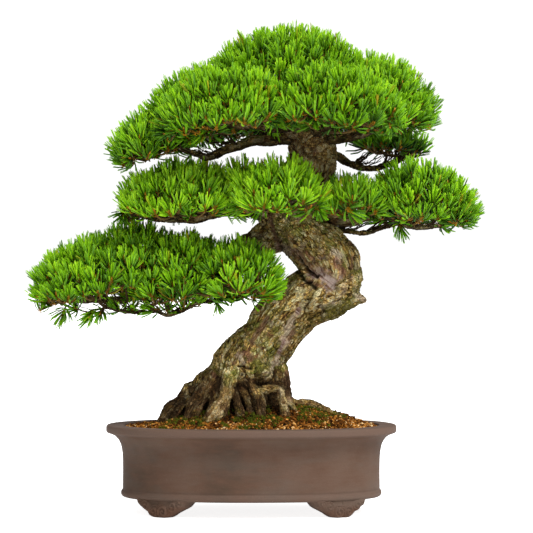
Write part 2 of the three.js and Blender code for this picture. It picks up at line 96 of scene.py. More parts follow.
# The round outside of the bend, the shoulder of the lower left branch, the buttress on the right
# and the fullness of the lean's left side.
SWELLINGS = [
    [[128, -22, 388, 40], [139, -22, 370, 44], [141, -22, 352, 34]],
    [[70, -2, 486, 42], [44, 0, 468, 30], [14, 6, 457, 20], [-14, 12, 451, 15]],
    [[20, -2, 262, 26], [33, -4, 236, 27], [40, -5, 208, 27], [42, -6, 180, 26], [44, -6, 148, 24]],
    [[58, -10, 348, 42], [35, -8, 323, 39], [20, -6, 300, 33], [10, -5, 284, 28]],
]
ROOTS = [
    [[-44, -4, 244, 24], [-88, -10, 208, 21], [-115, -18, 189, 18], [-137, -24, 169, 14], [-156, -30, 142, 9]],
    [[-54, -26, 232, 20], [-80, -46, 202, 15], [-98, -58, 176, 12], [-114, -66, 148, 9]],
    [[-24, -40, 252, 17], [-37, -56, 222, 13], [-46, -70, 192, 12], [-58, -80, 172, 15], [-76, -88, 152, 11]],
    [[-14, -44, 238, 9], [0, -58, 216, 8], [10, -66, 196, 10], [18, -78, 152, 7]],
    [[6, -40, 206, 7], [24, -62, 209, 5.5], [38, -68, 212, 5], [50, -70, 206, 4.5], [58, -74, 158, 5]],
    [[48, -8, 196, 12], [74, -11, 184, 8], [98, -16, 182, 7], [124, -21, 173, 6.5], [152, -22, 158, 4.5]],
    [[-40, 36, 236, 22], [-60, 60, 204, 17], [-80, 82, 174, 13], [-96, 100, 144, 9]],
    [[10, 38, 230, 20], [34, 62, 200, 15], [54, 86, 172, 11], [70, 106, 142, 8]],
    [[-58, 20, 228, 20], [-92, 34, 196, 16], [-120, 46, 168, 12], [-146, 56, 138, 8]],
]
# Thin roots that fill the flare between the thick ones.
FINE_ROOTS = [
    [[-70, -30, 226, 6], [-92, -44, 200, 5], [-108, -52, 176, 4.5], [-118, -58, 150, 4]],
    [[-62, -40, 224, 6], [-74, -56, 198, 5.5], [-88, -66, 174, 4.5], [-96, -72, 150, 4]],
    [[-50, -44, 222, 6], [-62, -60, 196, 5], [-70, -70, 176, 4], [-84, -80, 150, 4]],
    [[-84, -20, 212, 7], [-108, -34, 184, 5.5], [-126, -44, 164, 4.5], [-138, -52, 144, 4]],
    [[-30, -54, 214, 5], [-24, -66, 190, 5], [-18, -76, 168, 4], [-16, -84, 146, 4]],
    [[-20, -50, 216, 6], [-8, -64, 196, 6.5], [-2, -72, 176, 5], [2, -82, 150, 4]],
    [[58, -22, 200, 7], [64, -36, 184, 6], [74, -46, 168, 5], [84, -54, 146, 4]],
    [[-30, 44, 214, 8], [-22, 66, 184, 6], [-14, 84, 160, 5], [-8, 96, 140, 4]],
    [[-70, 40, 214, 8], [-94, 62, 184, 6], [-110, 76, 160, 5], [-122, 86, 140, 4]],
    [[40, 24, 212, 8], [66, 40, 186, 6], [90, 54, 166, 5], [108, 64, 146, 4]],
]
# Round swellings at the foot: centre and size.
BURLS = [((6, -50, 204), 13), ((-12, -54, 197), 9), ((-30, -50, 232), 15), ((22, -54, 236), 14)]
BRANCHES = {
    "branch_lower_left": [
        [30, 4, 474, 19], [-19, 14, 449, 15], [-67, 12, 423, 12], [-118, 2, 394, 10],
        [-172, -6, 372, 8], [-232, -10, 360, 6], [-291, -10, 360, 4.5], [-340, -6, 364, 3],
    ],
    "branch_lower_front": [
        [22, -24, 452, 11], [-4, -52, 428, 8.5], [-30, -68, 404, 7], [-62, -76, 384, 5.5], [-90, -80, 370, 4],
    ],
    "branch_lower_under": [
        [-12, 4, 440, 6], [-2, -26, 404, 5], [-14, -46, 366, 4], [-46, -54, 360, 3.4], [-84, -56, 356, 3.2],
        [-110, -56, 345, 3], [-139, -56, 334, 2.8], [-160, -54, 340, 2.6], [-200, -50, 339, 2.3],
        [-244, -46, 346, 2],
    ],
    "branch_middle_left": [
        [34, -12, 506, 13], [-11, -30, 507, 9.5], [-50, -42, 508, 8.5], [-79, -48, 498, 7.5],
        [-113, -52, 494, 6], [-155, -55, 495, 4.5], [-198, -56, 506, 3],
    ],
    "branch_middle_front": [
        [52, -20, 516, 12], [45, -62, 519, 9], [44, -100, 515, 7], [56, -130, 518, 5], [74, -154, 524, 3],
    ],
    "branch_middle_right": [
        [72, -4, 512, 13], [133, -12, 497, 10], [171, -18, 494, 8.5], [210, -22, 503, 7.5],
        [239, -25, 499, 6.5], [260, -28, 487, 5.5], [286, -30, 482, 4.5], [322, -30, 486, 3],
    ],
    "branch_middle_right_rear": [
        [92, 14, 490, 7], [133, 22, 481, 4.2], [188, 28, 474, 3.4], [233, 34, 485, 3], [280, 40, 498, 2.4],
    ],
    "branch_middle_back": [[70, 20, 520, 12], [72, 66, 520, 9], [66, 106, 515, 7], [54, 146, 521, 4]],
    "branch_upper_right": [
        [108, 16, 608, 11], [144, 30, 603, 8], [161, 38, 596, 6.4], [178, 47, 589, 5.2],
        [206, 58, 585, 5], [228, 68, 589, 4.5], [253, 75, 602, 3.5], [276, 79, 616, 2.5],
    ],
    "branch_crown_left": [
        [92, -4, 640, 15], [38, -20, 631, 10], [6, -30, 628, 8.5], [-26, -38, 619, 7.5], [-58, -45, 606, 6.5],
        [-76, -48, 601, 6], [-99, -50, 607, 5], [-130, -48, 615, 4.2], [-170, -40, 610, 3.4],
        [-206, -34, 601, 2.6],
    ],
    "branch_crown_front_left": [
        [84, -16, 652, 11], [40, -62, 648, 8], [-10, -98, 650, 6.5], [-56, -122, 656, 5], [-92, -134, 664, 3],
    ],
    "branch_crown_front_right": [
        [102, -20, 642, 11], [118, -66, 646, 8], [130, -104, 652, 6], [140, -140, 662, 4],
    ],
    "branch_crown_right": [
        [106, -6, 630, 12], [146, -34, 630, 8], [176, -44, 636, 7], [208, -44, 648, 5.5],
        [244, -30, 664, 4.5], [284, -14, 680, 3],
    ],
    "branch_crown_back_left": [
        [84, 12, 656, 11], [40, 60, 650, 8], [-10, 96, 652, 6.5], [-60, 122, 660, 4],
    ],
    "branch_crown_back_right": [
        [98, 14, 650, 11], [116, 62, 652, 8], [134, 100, 658, 6], [152, 138, 668, 4],
    ],
}
# Domes of needles: centre, half sizes, height above, depth below, lean in degrees.
PADS = {
    "foliage_crown_apex": [[64, 0, 700], [160, 150], 128, 24, 1],
    "foliage_crown_left": [[-58, 20, 644], [138, 140], 124, 16, -9],
    "foliage_crown_left_tip": [[-166, -18, 607], [82, 94], 80, 10, -13],
    "foliage_crown_right": [[190, 2, 668], [140, 136], 116, 12, 6],
    "foliage_crown_front_left": [[-36, -128, 650], [132, 108], 102, 12, -6],
    "foliage_crown_front_right": [[132, -132, 654], [138, 106], 102, 12, 5],
    "foliage_crown_back_left": [[-34, 138, 648], [130, 102], 104, 22, -5],
    "foliage_crown_back_right": [[136, 140, 652], [136, 100], 100, 22, 5],
    "foliage_upper_right": [[238, 76, 622], [80, 74], 36, 4, 6],
    "foliage_middle_left": [[-115, -46, 507], [127, 118], 93, 8, -3],
    "foliage_middle_left_inner": [[-14, -70, 522], [58, 66], 88, 14, 0],
    "foliage_middle_front": [[46, -118, 512], [96, 84], 92, 12, 0],
    "foliage_middle_right": [[282, -24, 497], [115, 118], 103, 8, 4],
    "foliage_middle_right_inner": [[170, -58, 510], [72, 84], 66, 6, 0],
    "foliage_middle_back": [[62, 124, 512], [104, 92], 78, 14, 0],
    "foliage_lower_left_outer": [[-260, -12, 374], [127, 120], 98, 14, -12],
    "foliage_lower_left_second": [[-196, -4, 388], [108, 126], 108, 24, -8],
    "foliage_lower_left_middle": [[-120, -10, 372], [110, 134], 110, 34, -2],
    "foliage_lower_left_inner": [[-24, -76, 374], [86, 82], 94, 26, 2],
}
# Pads whose needles are drawn brighter (above zero) and darker (below zero) than the others'.
PAD_TONES = {
    "foliage_upper_right": -0.16,
    "foliage_middle_left": 0.15,
    "foliage_middle_left_inner": 0.13,
    "foliage_middle_front": 0.11,
    "foliage_middle_right": -0.06,
    "foliage_crown_left": -0.02,
}
# Needles and shoots, then the layers of tufts: how deep under a dome's skin, spacing, lowest slope,
# bundles in a tuft, and tone. Deeper layers get lower tones as painted shade inside the domes.
NEEDLE = {"length": 30, "width": 1.55, "shoot": 12, "bundle": 3}
LAYERS = [(25, 21.5, -0.3, 20, 0.66), (42, 22, -0.25, 14, 0.4), (66, 25, -0.3, 12, 0.22)]
# Limbs that carry thin bare twigs below the needles: first and last share along each one, and how many.
BARE_TWIGS = {
    "branch_upper_right": (0.3, 0.95, 34),
    "branch_middle_right_rear": (0.25, 0.9, 26),
    "branch_middle_right": (0.25, 0.9, 26),
    "branch_middle_left": (0.35, 0.9, 22),
    "branch_crown_left": (0.3, 0.95, 34),
    "branch_crown_right": (0.3, 0.9, 16),
    "branch_lower_left": (0.45, 0.95, 24),
    "branch_lower_under": (0.3, 0.97, 26),
}
# Single tufts that hang below the lower pads: place and the way they point.
HANGING = {
    "foliage_lower_left_outer": [
        [-254, -50, 338, -0.2, -0.5, -0.4], [-272, -50, 333, -0.5, -0.3, -0.6],
        [-318, -40, 336, -0.4, -0.2, -0.7], [-296, -50, 346, -0.2, -0.5, 0.1],
    ],
    "foliage_lower_left_second": [[-200, -54, 345, 0, -0.6, 0.3], [-226, -54, 346, -0.3, -0.5, 0.3]],
    "foliage_lower_left_middle": [
        [-166, -58, 344, -0.7, -0.3, 0.05], [-114, -60, 352, 0, -0.5, 0.8], [-140, -60, 346, 0.2, -0.5, 0.6],
        [-86, -60, 360, 0.1, -0.5, 0.8],
    ],
    "foliage_lower_left_inner": [
        [-56, -60, 354, 0.1, -0.6, -0.2], [8, -74, 364, 0.6, -0.5, 0.1], [-30, -72, 364, 0, -0.6, 0.3],
    ],
    "foliage_middle_right": [[252, -44, 480, 0.1, -0.5, -0.6], [322, -60, 482, 0.3, -0.5, -0.1]],
}


# ------------------------------------------------------------------ numbers
def unit(v):
    return v / np.maximum(np.linalg.norm(v, axis=-1, keepdims=True), 1e-9)


def lattice(cell, seed):
    """A random number from 0 to 1 for each whole-number point of a grid."""
    x, y, z = (cell[..., k].astype(np.uint64) for k in range(3))
    keep = np.uint64(0xFFFFFFFF)
    n = (x * 73856093 ^ y * 19349663 ^ z * 83492791 ^ np.uint64(seed * 2654435761 % 2**32)) & keep
    for shift, factor in ((15, 2246822519), (13, 3266489917)):
        n = ((n ^ (n >> np.uint64(shift))) * np.uint64(factor)) & keep
    return ((n ^ (n >> np.uint64(16))) & np.uint64(0xFFFFFF)).astype(float) / 0xFFFFFF


def noise(p, seed=0):
    """Smooth noise from -1 to 1, with humps about one unit apart."""
    p = np.asarray(p, float) + 1000
    cell = np.floor(p)
    f = p - cell
    f = f * f * (3 - 2 * f)
    total = np.zeros(p.shape[:-1])
    for corner in np.ndindex(2, 2, 2):
        c = np.array(corner)
        weight = np.prod(np.where(c == 1, f, 1 - f), axis=-1)
        total += weight * lattice(cell + c, seed)
    return total * 2 - 1


def cells(p, seed=0):
    """Distances to the nearest and next of the jittered points, one a cell, and the nearest's number."""
    p = np.asarray(p, float) + 1000
    base = np.floor(p)
    near = np.full(len(p), 9.0)
    after = np.full(len(p), 9.0)
    number = np.zeros(len(p))
    for step in np.ndindex(3, 3, 3):
        cell = base + np.array(step) - 1
        spot = cell + np.stack([lattice(cell, seed + k) for k in range(3)], -1)
        away = np.linalg.norm(spot - p, axis=-1)
        closer = away < near
        after = np.where(closer, near, np.minimum(after, away))
        number = np.where(closer, lattice(cell, seed + 7), number)
        near = np.where(closer, away, near)
    return near, after, number


def smoothstep(low, high, x):
    t = np.clip((x - low) / (high - low), 0, 1)
    return t * t * (3 - 2 * t)


def spline(points, count):
    """Points of a smooth curve through the given ones, all their columns alike."""
    p = np.array(points, float)
    p = np.vstack([2 * p[0] - p[1], p, 2 * p[-1] - p[-2]])
    t = np.linspace(0, len(points) - 1, count)
    i = np.minimum(t.astype(int), len(points) - 2)
    f = (t - i)[:, None]
    a, b, c, d = p[i], p[i + 1], p[i + 2], p[i + 3]
    bend = (2 * a - 5 * b + 4 * c - d) * f**2
    return 0.5 * (2 * b + (c - a) * f + bend + (3 * b - a - 3 * c + d) * f**3)


# ------------------------------------------------------------------ meshes
def new_object(name, verts, faces, material, smooth=True, values=None):
    """An object from vertices, a list of face arrays and named numbers or vectors for its vertices."""
    mesh = bpy.data.meshes.new(name)
    verts = np.ascontiguousarray(verts, np.float32)
    mesh.vertices.add(len(verts))
    mesh.vertices.foreach_set("co", verts.ravel())
    corners = np.concatenate([f.ravel() for f in faces]).astype(np.int32)
    sizes = np.concatenate([np.full(len(f), f.shape[1]) for f in faces]).astype(np.int32)
    mesh.loops.add(len(corners))
    mesh.loops.foreach_set("vertex_index", corners)
    mesh.polygons.add(len(sizes))
    mesh.polygons.foreach_set("loop_start", (np.cumsum(sizes) - sizes).astype(np.int32))
    mesh.update(calc_edges=True)
    for key, value in (values or {}).items():
        set_values(mesh, key, value)
    mesh.polygons.foreach_set("use_smooth", np.full(len(sizes), smooth))
    mesh.materials.append(material)
    made = bpy.data.objects.new(name, mesh)
    bpy.context.scene.collection.objects.link(made)
    return made


def set_values(mesh, key, value):
    value = np.asarray(value, np.float32)
    if value.ndim == 2:
        mesh.attributes.new(key, "FLOAT_VECTOR", "POINT").data.foreach_set("vector", value.ravel())
    else:
        mesh.attributes.new(key, "FLOAT", "POINT").data.foreach_set("value", value)


def finish_piece(piece, slot, *nodes):
    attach(piece, "root")
    if nodes:
        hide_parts(*nodes)
    return piece


def skin_faces(steps, sides):
    """Quads between rings of points, and fans to the two middle points after them that close the ends."""
    k, s = np.meshgrid(np.arange(steps - 1), np.arange(sides), indexing="ij")
    after = (s + 1) % sides
    quads = [k * sides + s, k * sides + after, (k + 1) * sides + after, (k + 1) * sides + s]
    s, after = s[0], after[0]
    last, end = (steps - 1) * sides, steps * sides
    first_fan = np.stack([after, s, np.full(sides, end)], -1)
    last_fan = np.stack([last + s, last + after, np.full(sides, end + 1)], -1)
    return np.stack(quads, -1).reshape(-1, 4), np.concatenate([first_fan, last_fan])


def tubes(paths, radii, sides):
    """Closed round tubes, all with the same steps: paths (tubes, steps, 3) and radii (tubes, steps)."""
    count, steps, _ = paths.shape
    tangents = unit(np.gradient(paths, axis=1))
    aside = np.where(np.abs(tangents[:, :1, 2:]) < 0.9, UP, np.array([1.0, 0, 0]))[:, 0]
    normal = unit(np.cross(tangents[:, 0], aside))
    angles = 2 * np.pi * np.arange(sides) / sides
    rings = np.empty((count, steps, sides, 3))
    for k in range(steps):
        t = tangents[:, k]
        normal = unit(normal - t * np.sum(normal * t, -1, keepdims=True))
        side = np.cross(t, normal)
        spoke = normal[:, None] * np.cos(angles)[:, None] + side[:, None] * np.sin(angles)[:, None]
        rings[:, k] = paths[:, None, k] + radii[:, k, None, None] * spoke
    foot = paths[:, 0] - tangents[:, 0] * radii[:, :1] * 0.5
    tip = paths[:, -1] + tangents[:, -1] * radii[:, -1:] * 0.7
    verts = np.concatenate([rings.reshape(count, -1, 3), np.stack([foot, tip], 1)], 1)
    quads, caps = skin_faces(steps, sides)
    shift = (np.arange(count) * verts.shape[1])[:, None, None]
    return verts.reshape(-1, 3), (quads + shift).reshape(-1, 4), (caps + shift).reshape(-1, 3)


def merge(parts):
    """One vertex array, quads and triangles from several."""
    verts, quads, tris, base = [], [], [], 0
    for v, q, t in parts:
        verts.append(v)
        quads.append(q + base)
        tris.append(t + base)
        base += len(v)
    return np.concatenate(verts), np.concatenate(quads), np.concatenate(tris)


def loft(rings):
    """A closed skin over rings of the same number of points, with a middle point at each end."""
    rings = np.asarray(rings, float)
    verts = np.concatenate([rings.reshape(-1, 3), rings[0].mean(0)[None], rings[-1].mean(0)[None]])
    return verts, *skin_faces(*rings.shape[:2])


def vertex_array(mesh, key="co"):
    out = np.empty(len(mesh.vertices) * 3, np.float32)
    mesh.vertices.foreach_get(key, out)
    return out.reshape(-1, 3).astype(float)


def move_vertices(mesh, verts):
    """Puts the vertices at new places, given in millimetres."""
    mesh.vertices.foreach_set("co", (verts * MM).astype(np.float32).ravel())
    mesh.update()


def apply_modifiers(obj):
    """Bakes an object's modifiers into its own mesh."""
    evaluated = obj.evaluated_get(bpy.context.evaluated_depsgraph_get())
    mesh = bpy.data.meshes.new_from_object(evaluated)
    obj.modifiers.clear()
    obj.data = mesh
    return mesh


def voxel_skin(name, parts, voxel, rounds, material):
    """One skin round several overlapping solids."""
    verts, quads, tris = merge(parts)
    made = new_object(name, verts, [quads, tris], material)
    remesh = made.modifiers.new("join", "REMESH")
    remesh.mode = "VOXEL"
    remesh.voxel_size = voxel
    relax = made.modifiers.new("relax", "SMOOTH")
    relax.iterations = rounds
    mesh = apply_modifiers(made)
    mesh.materials.clear()
    mesh.materials.append(material)
    mesh.polygons.foreach_set("use_smooth", np.ones(len(mesh.polygons), bool))
    return made


# ------------------------------------------------------------------ material nodes
class Nodes:
    """A short way to write a node material: each method adds one node and returns its output socket."""

    def __init__(self, name):
        self.material = bpy.data.materials.new(name)
        self.material.use_nodes = True
        self.tree = self.material.node_tree
        self.shader = self.tree.nodes["Principled BSDF"]

    def add(self, kind, settings=None, **inputs):
        node = self.tree.nodes.new("ShaderNode" + kind)
        for key, value in (settings or {}).items():
            setattr(node, key, value)
        for key, value in inputs.items():
            self.feed(node.inputs[key.replace("_", " ")], value)
        return node

    def feed(self, socket, value):
        if isinstance(value, bpy.types.NodeSocket):
            self.tree.links.new(value, socket)
        else:
            socket.default_value = value

    def value(self, name):
        return self.add("Attribute", {"attribute_name": name}).outputs["Fac"]

    def vector(self, name):
        return self.add("Attribute", {"attribute_name": name}).outputs["Vector"]

    def place(self):
        return self.add("TexCoord").outputs["Object"]

    def scaled(self, vector, scale):
        return self.add("Mapping", Vector=vector, Scale=scale).outputs["Vector"]

    def noise(self, vector, scale, detail=4.0, rough=0.55, warp=0.0):
        settings = {"Scale": scale, "Detail": detail, "Roughness": rough, "Distortion": warp}
        return self.add("TexNoise", Vector=vector, **settings).outputs["Fac"]

    def cells(self, vector, scale, feature="F1"):
        node = self.add("TexVoronoi", {"feature": feature}, Vector=vector, Scale=scale)
        return node.outputs["Distance"]

    def ramp(self, value, stops, mode="LINEAR"):
        node = self.add("ValToRGB", Fac=value)
        ramp = node.color_ramp
        ramp.interpolation = mode
        while len(ramp.elements) < len(stops):
            ramp.elements.new(0.5)
        for element, (place, colour) in zip(ramp.elements, stops):
            element.position = place
            element.color = (*colour, 1) if isinstance(colour, tuple) else (colour, colour, colour, 1)
        return node.outputs["Color"]

    def mix(self, share, first, second, blend="MIX"):
        node = self.add("Mix", {"data_type": "RGBA", "blend_type": blend})
        for socket, value in zip((node.inputs[0], node.inputs[6], node.inputs[7]), (share, first, second)):
            self.feed(socket, (*value, 1) if isinstance(value, tuple) else value)
        return node.outputs[2]

    def math(self, kind, first, second):
        node = self.add("Math", {"operation": kind})
        self.feed(node.inputs[0], first)
        self.feed(node.inputs[1], second)
        return node.outputs[0]

    def plus(self, first, second):
        return self.math("ADD", first, second)

    def times(self, first, second):
        return self.math("MULTIPLY", first, second)

    def bump(self, height, depth, strength=1.0):
        node = self.add("Bump", Height=height, Distance=depth, Strength=strength)
        self.feed(self.shader.inputs["Normal"], node.outputs["Normal"])

    def done(self, **sockets):
        for key, value in sockets.items():
            self.feed(self.shader.inputs[key.replace("_", " ")], value)
        return self.material


def bark_material():
    """Flaky plates: the mesh carries the straightened grain, the paints, the damp foot and painted shade and
    highlight.
    """
    n = Nodes("bark")
    grain = n.vector("grain")
    wander = n.add("TexNoise", Vector=grain, Scale=70.0, Detail=4.0, Roughness=0.6).outputs["Color"]
    shift = n.add("VectorMath", {"operation": "MULTIPLY_ADD"})
    n.feed(shift.inputs[0], wander)
    n.feed(shift.inputs[1], (0.011, 0.011, 0.011))
    n.feed(shift.inputs[2], grain)
    bent = shift.outputs[0]
    plates = n.scaled(bent, (62, 150, 150))
    flakes = n.scaled(bent, (150, 330, 330))
    plate = n.add("TexVoronoi", Vector=plates, Scale=1.0).outputs["Color"]
    flake = n.add("TexVoronoi", Vector=flakes, Scale=1.0).outputs["Color"]
    gap = n.ramp(n.cells(plates, 1.0, "DISTANCE_TO_EDGE"), [(0.02, 1.0), (0.13, 0.0)])
    chip = n.ramp(n.cells(flakes, 1.0, "DISTANCE_TO_EDGE"), [(0.0, 1.0), (0.14, 0.0)])
    fade = n.ramp(n.noise(grain, 55, 3), [(0.4, 0.3), (0.6, 1.0)])
    streak = n.noise(n.scaled(grain, (0.3, 2.2, 2.2)), 150, 5, 0.65, 0.5)
    fine = n.noise(grain, 520, 4, 0.7)
    tone = n.plus(n.times(plate, 0.34), n.times(flake, 0.26))
    tone = n.plus(tone, n.times(streak, 0.45))
    base = n.ramp(
        tone,
        [(0.37, (0.028, 0.014, 0.004)), (0.43, (0.18, 0.092, 0.02)), (0.485, (0.5, 0.295, 0.066)),
         (0.55, (0.94, 0.62, 0.19)), (0.63, (1.0, 0.87, 0.48))],
    )
    tan = n.ramp(n.noise(grain, 42, 4, 0.65), [(0.5, 0.0), (0.64, 1.0)])
    colour = n.mix(n.times(tan, 0.45), base, (0.36, 0.17, 0.07))
    lichen = n.ramp(n.noise(bent, 75, 5, 0.7), [(0.44, 0.0), (0.56, 1.0)])
    crust = n.ramp(streak, [(0.35, (0.1, 0.11, 0.012)), (0.65, (0.42, 0.46, 0.1))])
    colour = n.mix(n.times(lichen, n.value("moss")), colour, crust)
    flow = n.noise(n.scaled(n.vector("flow"), (0.22, 2.2, 1.2)), 110, 5, 0.6, 0.6)
    flow = n.plus(flow, n.times(n.value("lilac"), 0.17))
    pinkish = [(0.34, (0.07, 0.028, 0.018)), (0.5, (0.24, 0.145, 0.11)), (0.64, (0.44, 0.34, 0.29))]
    colour = n.mix(n.value("pink"), colour, n.ramp(flow, pinkish))
    cream = n.ramp(streak, [(0.36, (0.34, 0.21, 0.12)), (0.64, (0.95, 0.8, 0.58))])
    colour = n.mix(n.value("pale"), colour, cream)
    rusty = [(0.32, (0.08, 0.03, 0.018)), (0.52, (0.24, 0.105, 0.065)), (0.7, (0.45, 0.27, 0.19))]
    colour = n.mix(n.times(n.value("scar"), 0.8), colour, n.ramp(streak, rusty))
    green = n.ramp(fine, [(0.35, (0.04, 0.05, 0.004)), (0.65, (0.26, 0.27, 0.02))])
    colour = n.mix(n.value("green"), colour, green)
    # Damp earth at the foot, darkened further as painted shade in its hollows.
    earth_and_shade = [(0.4, (0.008, 0.005, 0.003)), (0.54, (0.05, 0.022, 0.008)), (0.66, (0.2, 0.098, 0.04))]
    mottle = n.plus(n.times(fine, 0.5), n.times(streak, 0.5))
    colour = n.mix(n.value("damp_and_shade"), colour, n.ramp(mottle, earth_and_shade))
    # Worn pale bare roots, and a painted highlight on raised bark.
    rubbed_and_highlight = n.ramp(streak, [(0.36, (0.2, 0.1, 0.038)), (0.64, (0.56, 0.35, 0.17))])
    colour = n.mix(n.value("worn_and_highlight"), colour, rubbed_and_highlight)
    calm = n.math("SUBTRACT", 1.0, n.value("smooth"))
    cracks = n.times(n.times(gap, fade), calm)
    chips = n.times(n.times(chip, calm), 0.68)
    # Dark joints between plates and flakes, drawn cracks, and painted shade in the hollows.
    dark = n.math("MAXIMUM", n.math("MAXIMUM", cracks, chips), n.value("crack_and_shade"))
    colour = n.mix(n.times(dark, 0.92), colour, (0.016, 0.009, 0.004))
    colour = n.mix(n.value("shade"), colour, (0.02, 0.012, 0.006))
    colour = n.mix(0.5, colour, n.ramp(fine, [(0.3, 0.4), (0.7, 1.5)]), "MULTIPLY")
    relief = n.math("SUBTRACT", n.plus(tone, n.times(fine, 0.25)), n.times(dark, 0.8))
    n.bump(relief, 0.003, 1.0)
    return n.done(Base_Color=colour, Roughness=0.92, Specular_IOR_Level=0.06)


def twig_material():
    n = Nodes("twig_bark")
    spot = n.noise(n.place(), 420, 4)
    tone = n.value("tone")
    colour = n.ramp(
        n.plus(n.times(spot, 0.3), n.times(tone, 0.8)),
        [(0.2, (0.02, 0.013, 0.006)), (0.55, (0.09, 0.055, 0.022)), (0.85, (0.2, 0.12, 0.035)),
         (1.0, (0.42, 0.22, 0.03))],
    )
    n.bump(spot, 0.0008, 0.6)
    return n.done(Base_Color=colour, Roughness=0.85, Specular_IOR_Level=0.08)


def needle_material():
    """Tone runs from dark needles to bright ones, with painted shade on deep and downward-facing tufts. The
    sheath is the orange foot of each bundle.
    """
    n = Nodes("needles")
    colour = n.ramp(
        n.value("tone"),
        [(0.0, (0.005, 0.016, 0.001)), (0.25, (0.024, 0.08, 0.003)), (0.5, (0.112, 0.29, 0.004)),
         (0.75, (0.27, 0.6, 0.008)), (1.0, (0.48, 0.84, 0.022))],
    )
    colour = n.mix(n.value("blue"), colour, (0.2, 0.46, 0.085))
    colour = n.mix(n.value("yellow"), colour, (0.55, 0.38, 0.02))
    foot = n.ramp(n.value("sheath"), [(0.64, 0.0), (0.88, 1.0)])
    colour = n.mix(foot, colour, (0.55, 0.25, 0.012))
    sheen = n.ramp(n.noise(n.place(), 900, 2), [(0.35, 0.8), (0.7, 1.2)])
    colour = n.mix(0.6, colour, sheen, "MULTIPLY")
    return n.done(Base_Color=colour, Roughness=0.5, Specular_IOR_Level=0.08)


def bud_material():
    n = Nodes("buds")
    spot = n.noise(n.place(), 700, 3)
    n.bump(spot, 0.0005, 0.7)
    colour = n.ramp(spot, [(0.3, (0.5, 0.17, 0.01)), (0.55, (0.85, 0.33, 0.015)), (0.75, (0.95, 0.5, 0.05))])
    return n.done(Base_Color=colour, Roughness=0.6)


def clay_material():
    """Unglazed stoneware: grey-brown in soft patches, with faint scuffs, pale flecks and a rusty foot."""
    n = Nodes("unglazed_clay")
    place = n.place()
    broad = n.noise(place, 6, 4, 0.6)
    speck = n.noise(place, 900, 3, 0.6)
    wiped = n.noise(n.scaled(place, (1, 1, 5)), 30, 6, 0.6)
    colour = n.ramp(
        n.plus(n.times(broad, 0.75), n.times(wiped, 0.25)),
        [(0.38, (0.075, 0.047, 0.032)), (0.5, (0.108, 0.061, 0.041)), (0.62, (0.125, 0.078, 0.056))],
    )
    # Painted highlight on the lip and on the raised foot relief, and wear on the band.
    colour = n.mix(n.value("rim"), colour, (0.14, 0.09, 0.068))
    stain = n.ramp(n.noise(n.scaled(place, (0.6, 0.6, 1.6)), 14, 6, 0.65, 0.4), [(0.46, 0.0), (0.66, 1.0)])
    colour = n.mix(n.times(stain, 0.4), colour, (0.105, 0.083, 0.066))
    scuff = n.ramp(n.noise(n.scaled(place, (1.5, 1.5, 9)), 60, 6, 0.8, 0.8), [(0.64, 0.0), (0.72, 1.0)])
    colour = n.mix(n.times(scuff, n.value("wear")), colour, (0.24, 0.19, 0.16))
    fleck = n.ramp(n.cells(place, 160), [(0.035, 1.0), (0.06, 0.0)])
    colour = n.mix(n.times(fleck, 0.3), colour, (0.34, 0.28, 0.23))
    colour = n.mix(n.value("rust"), colour, (0.1, 0.05, 0.03))
    colour = n.mix(n.value("shade"), colour, (0.03, 0.02, 0.016))
    colour = n.mix(0.3, colour, n.ramp(speck, [(0.35, 0.72), (0.65, 1.25)]), "MULTIPLY")
    rough = n.ramp(wiped, [(0.35, 0.55), (0.65, 0.7)])
    n.bump(n.plus(n.times(speck, 0.35), wiped), 0.0005, 0.4)
    return n.done(Base_Color=colour, Roughness=rough, Specular_IOR_Level=0.08)


def grain_material():
    """Baked clay grains: each carries its own colour number."""
    n = Nodes("soil_grains")
    pick = n.value("tone")
    colour = n.ramp(
        pick,
        [(0.0, (0.008, 0.004, 0.001)), (0.25, (0.045, 0.017, 0.003)), (0.5, (0.15, 0.05, 0.008)),
         (0.72, (0.4, 0.148, 0.022)), (0.88, (0.72, 0.34, 0.07)), (1.0, (0.9, 0.66, 0.34))],
    )
    speck = n.noise(n.place(), 1300, 3, 0.7)
    colour = n.mix(0.5, colour, n.ramp(speck, [(0.3, 0.6), (0.7, 1.3)]), "MULTIPLY")
    n.bump(speck, 0.0006, 0.8)
    colour = n.mix(n.value("green"), colour, (0.06, 0.082, 0.006))
    return n.done(Base_Color=colour, Roughness=0.95, Specular_IOR_Level=0.06)


def moss_material():
    n = Nodes("moss")
    tone = n.noise(n.place(), 240, 5, 0.7)
    colour = n.ramp(
        n.plus(n.times(tone, 0.7), n.times(n.value("tone"), 0.4)),
        [(0.32, (0.009, 0.011, 0.002)), (0.55, (0.045, 0.053, 0.005)), (0.8, (0.14, 0.17, 0.012))],
    )
    n.bump(tone, 0.002, 0.9)
    return n.done(Base_Color=colour, Roughness=0.95, Specular_IOR_Level=0.05)


def plain_material(name, dark, light, scale, roughness, metallic=0.0, depth=0.0004):
    n = Nodes(name)
    spot = n.noise(n.place(), scale, 4)
    n.bump(spot, depth, 0.6)
    colour = n.ramp(spot, [(0.35, dark), (0.65, light)])
    return n.done(Base_Color=colour, Roughness=roughness, Metallic=metallic)


BARK = bark_material()
TWIG = twig_material()
NEEDLES = needle_material()
BUDS = bud_material()
CLAY = clay_material()
GRAINS = grain_material()
MOSS = moss_material()
SCREEN = plain_material("screen_mesh", (0.012, 0.012, 0.012), (0.04, 0.04, 0.04), 300, 0.6)
WIRE = plain_material("copper_wire", (0.2, 0.11, 0.07), (0.42, 0.26, 0.18), 160, 0.4, 0.85, 0.0002)
PUMICE = plain_material("pumice", (0.3, 0.24, 0.17), (0.66, 0.6, 0.5), 420, 0.95, 0.0, 0.003)


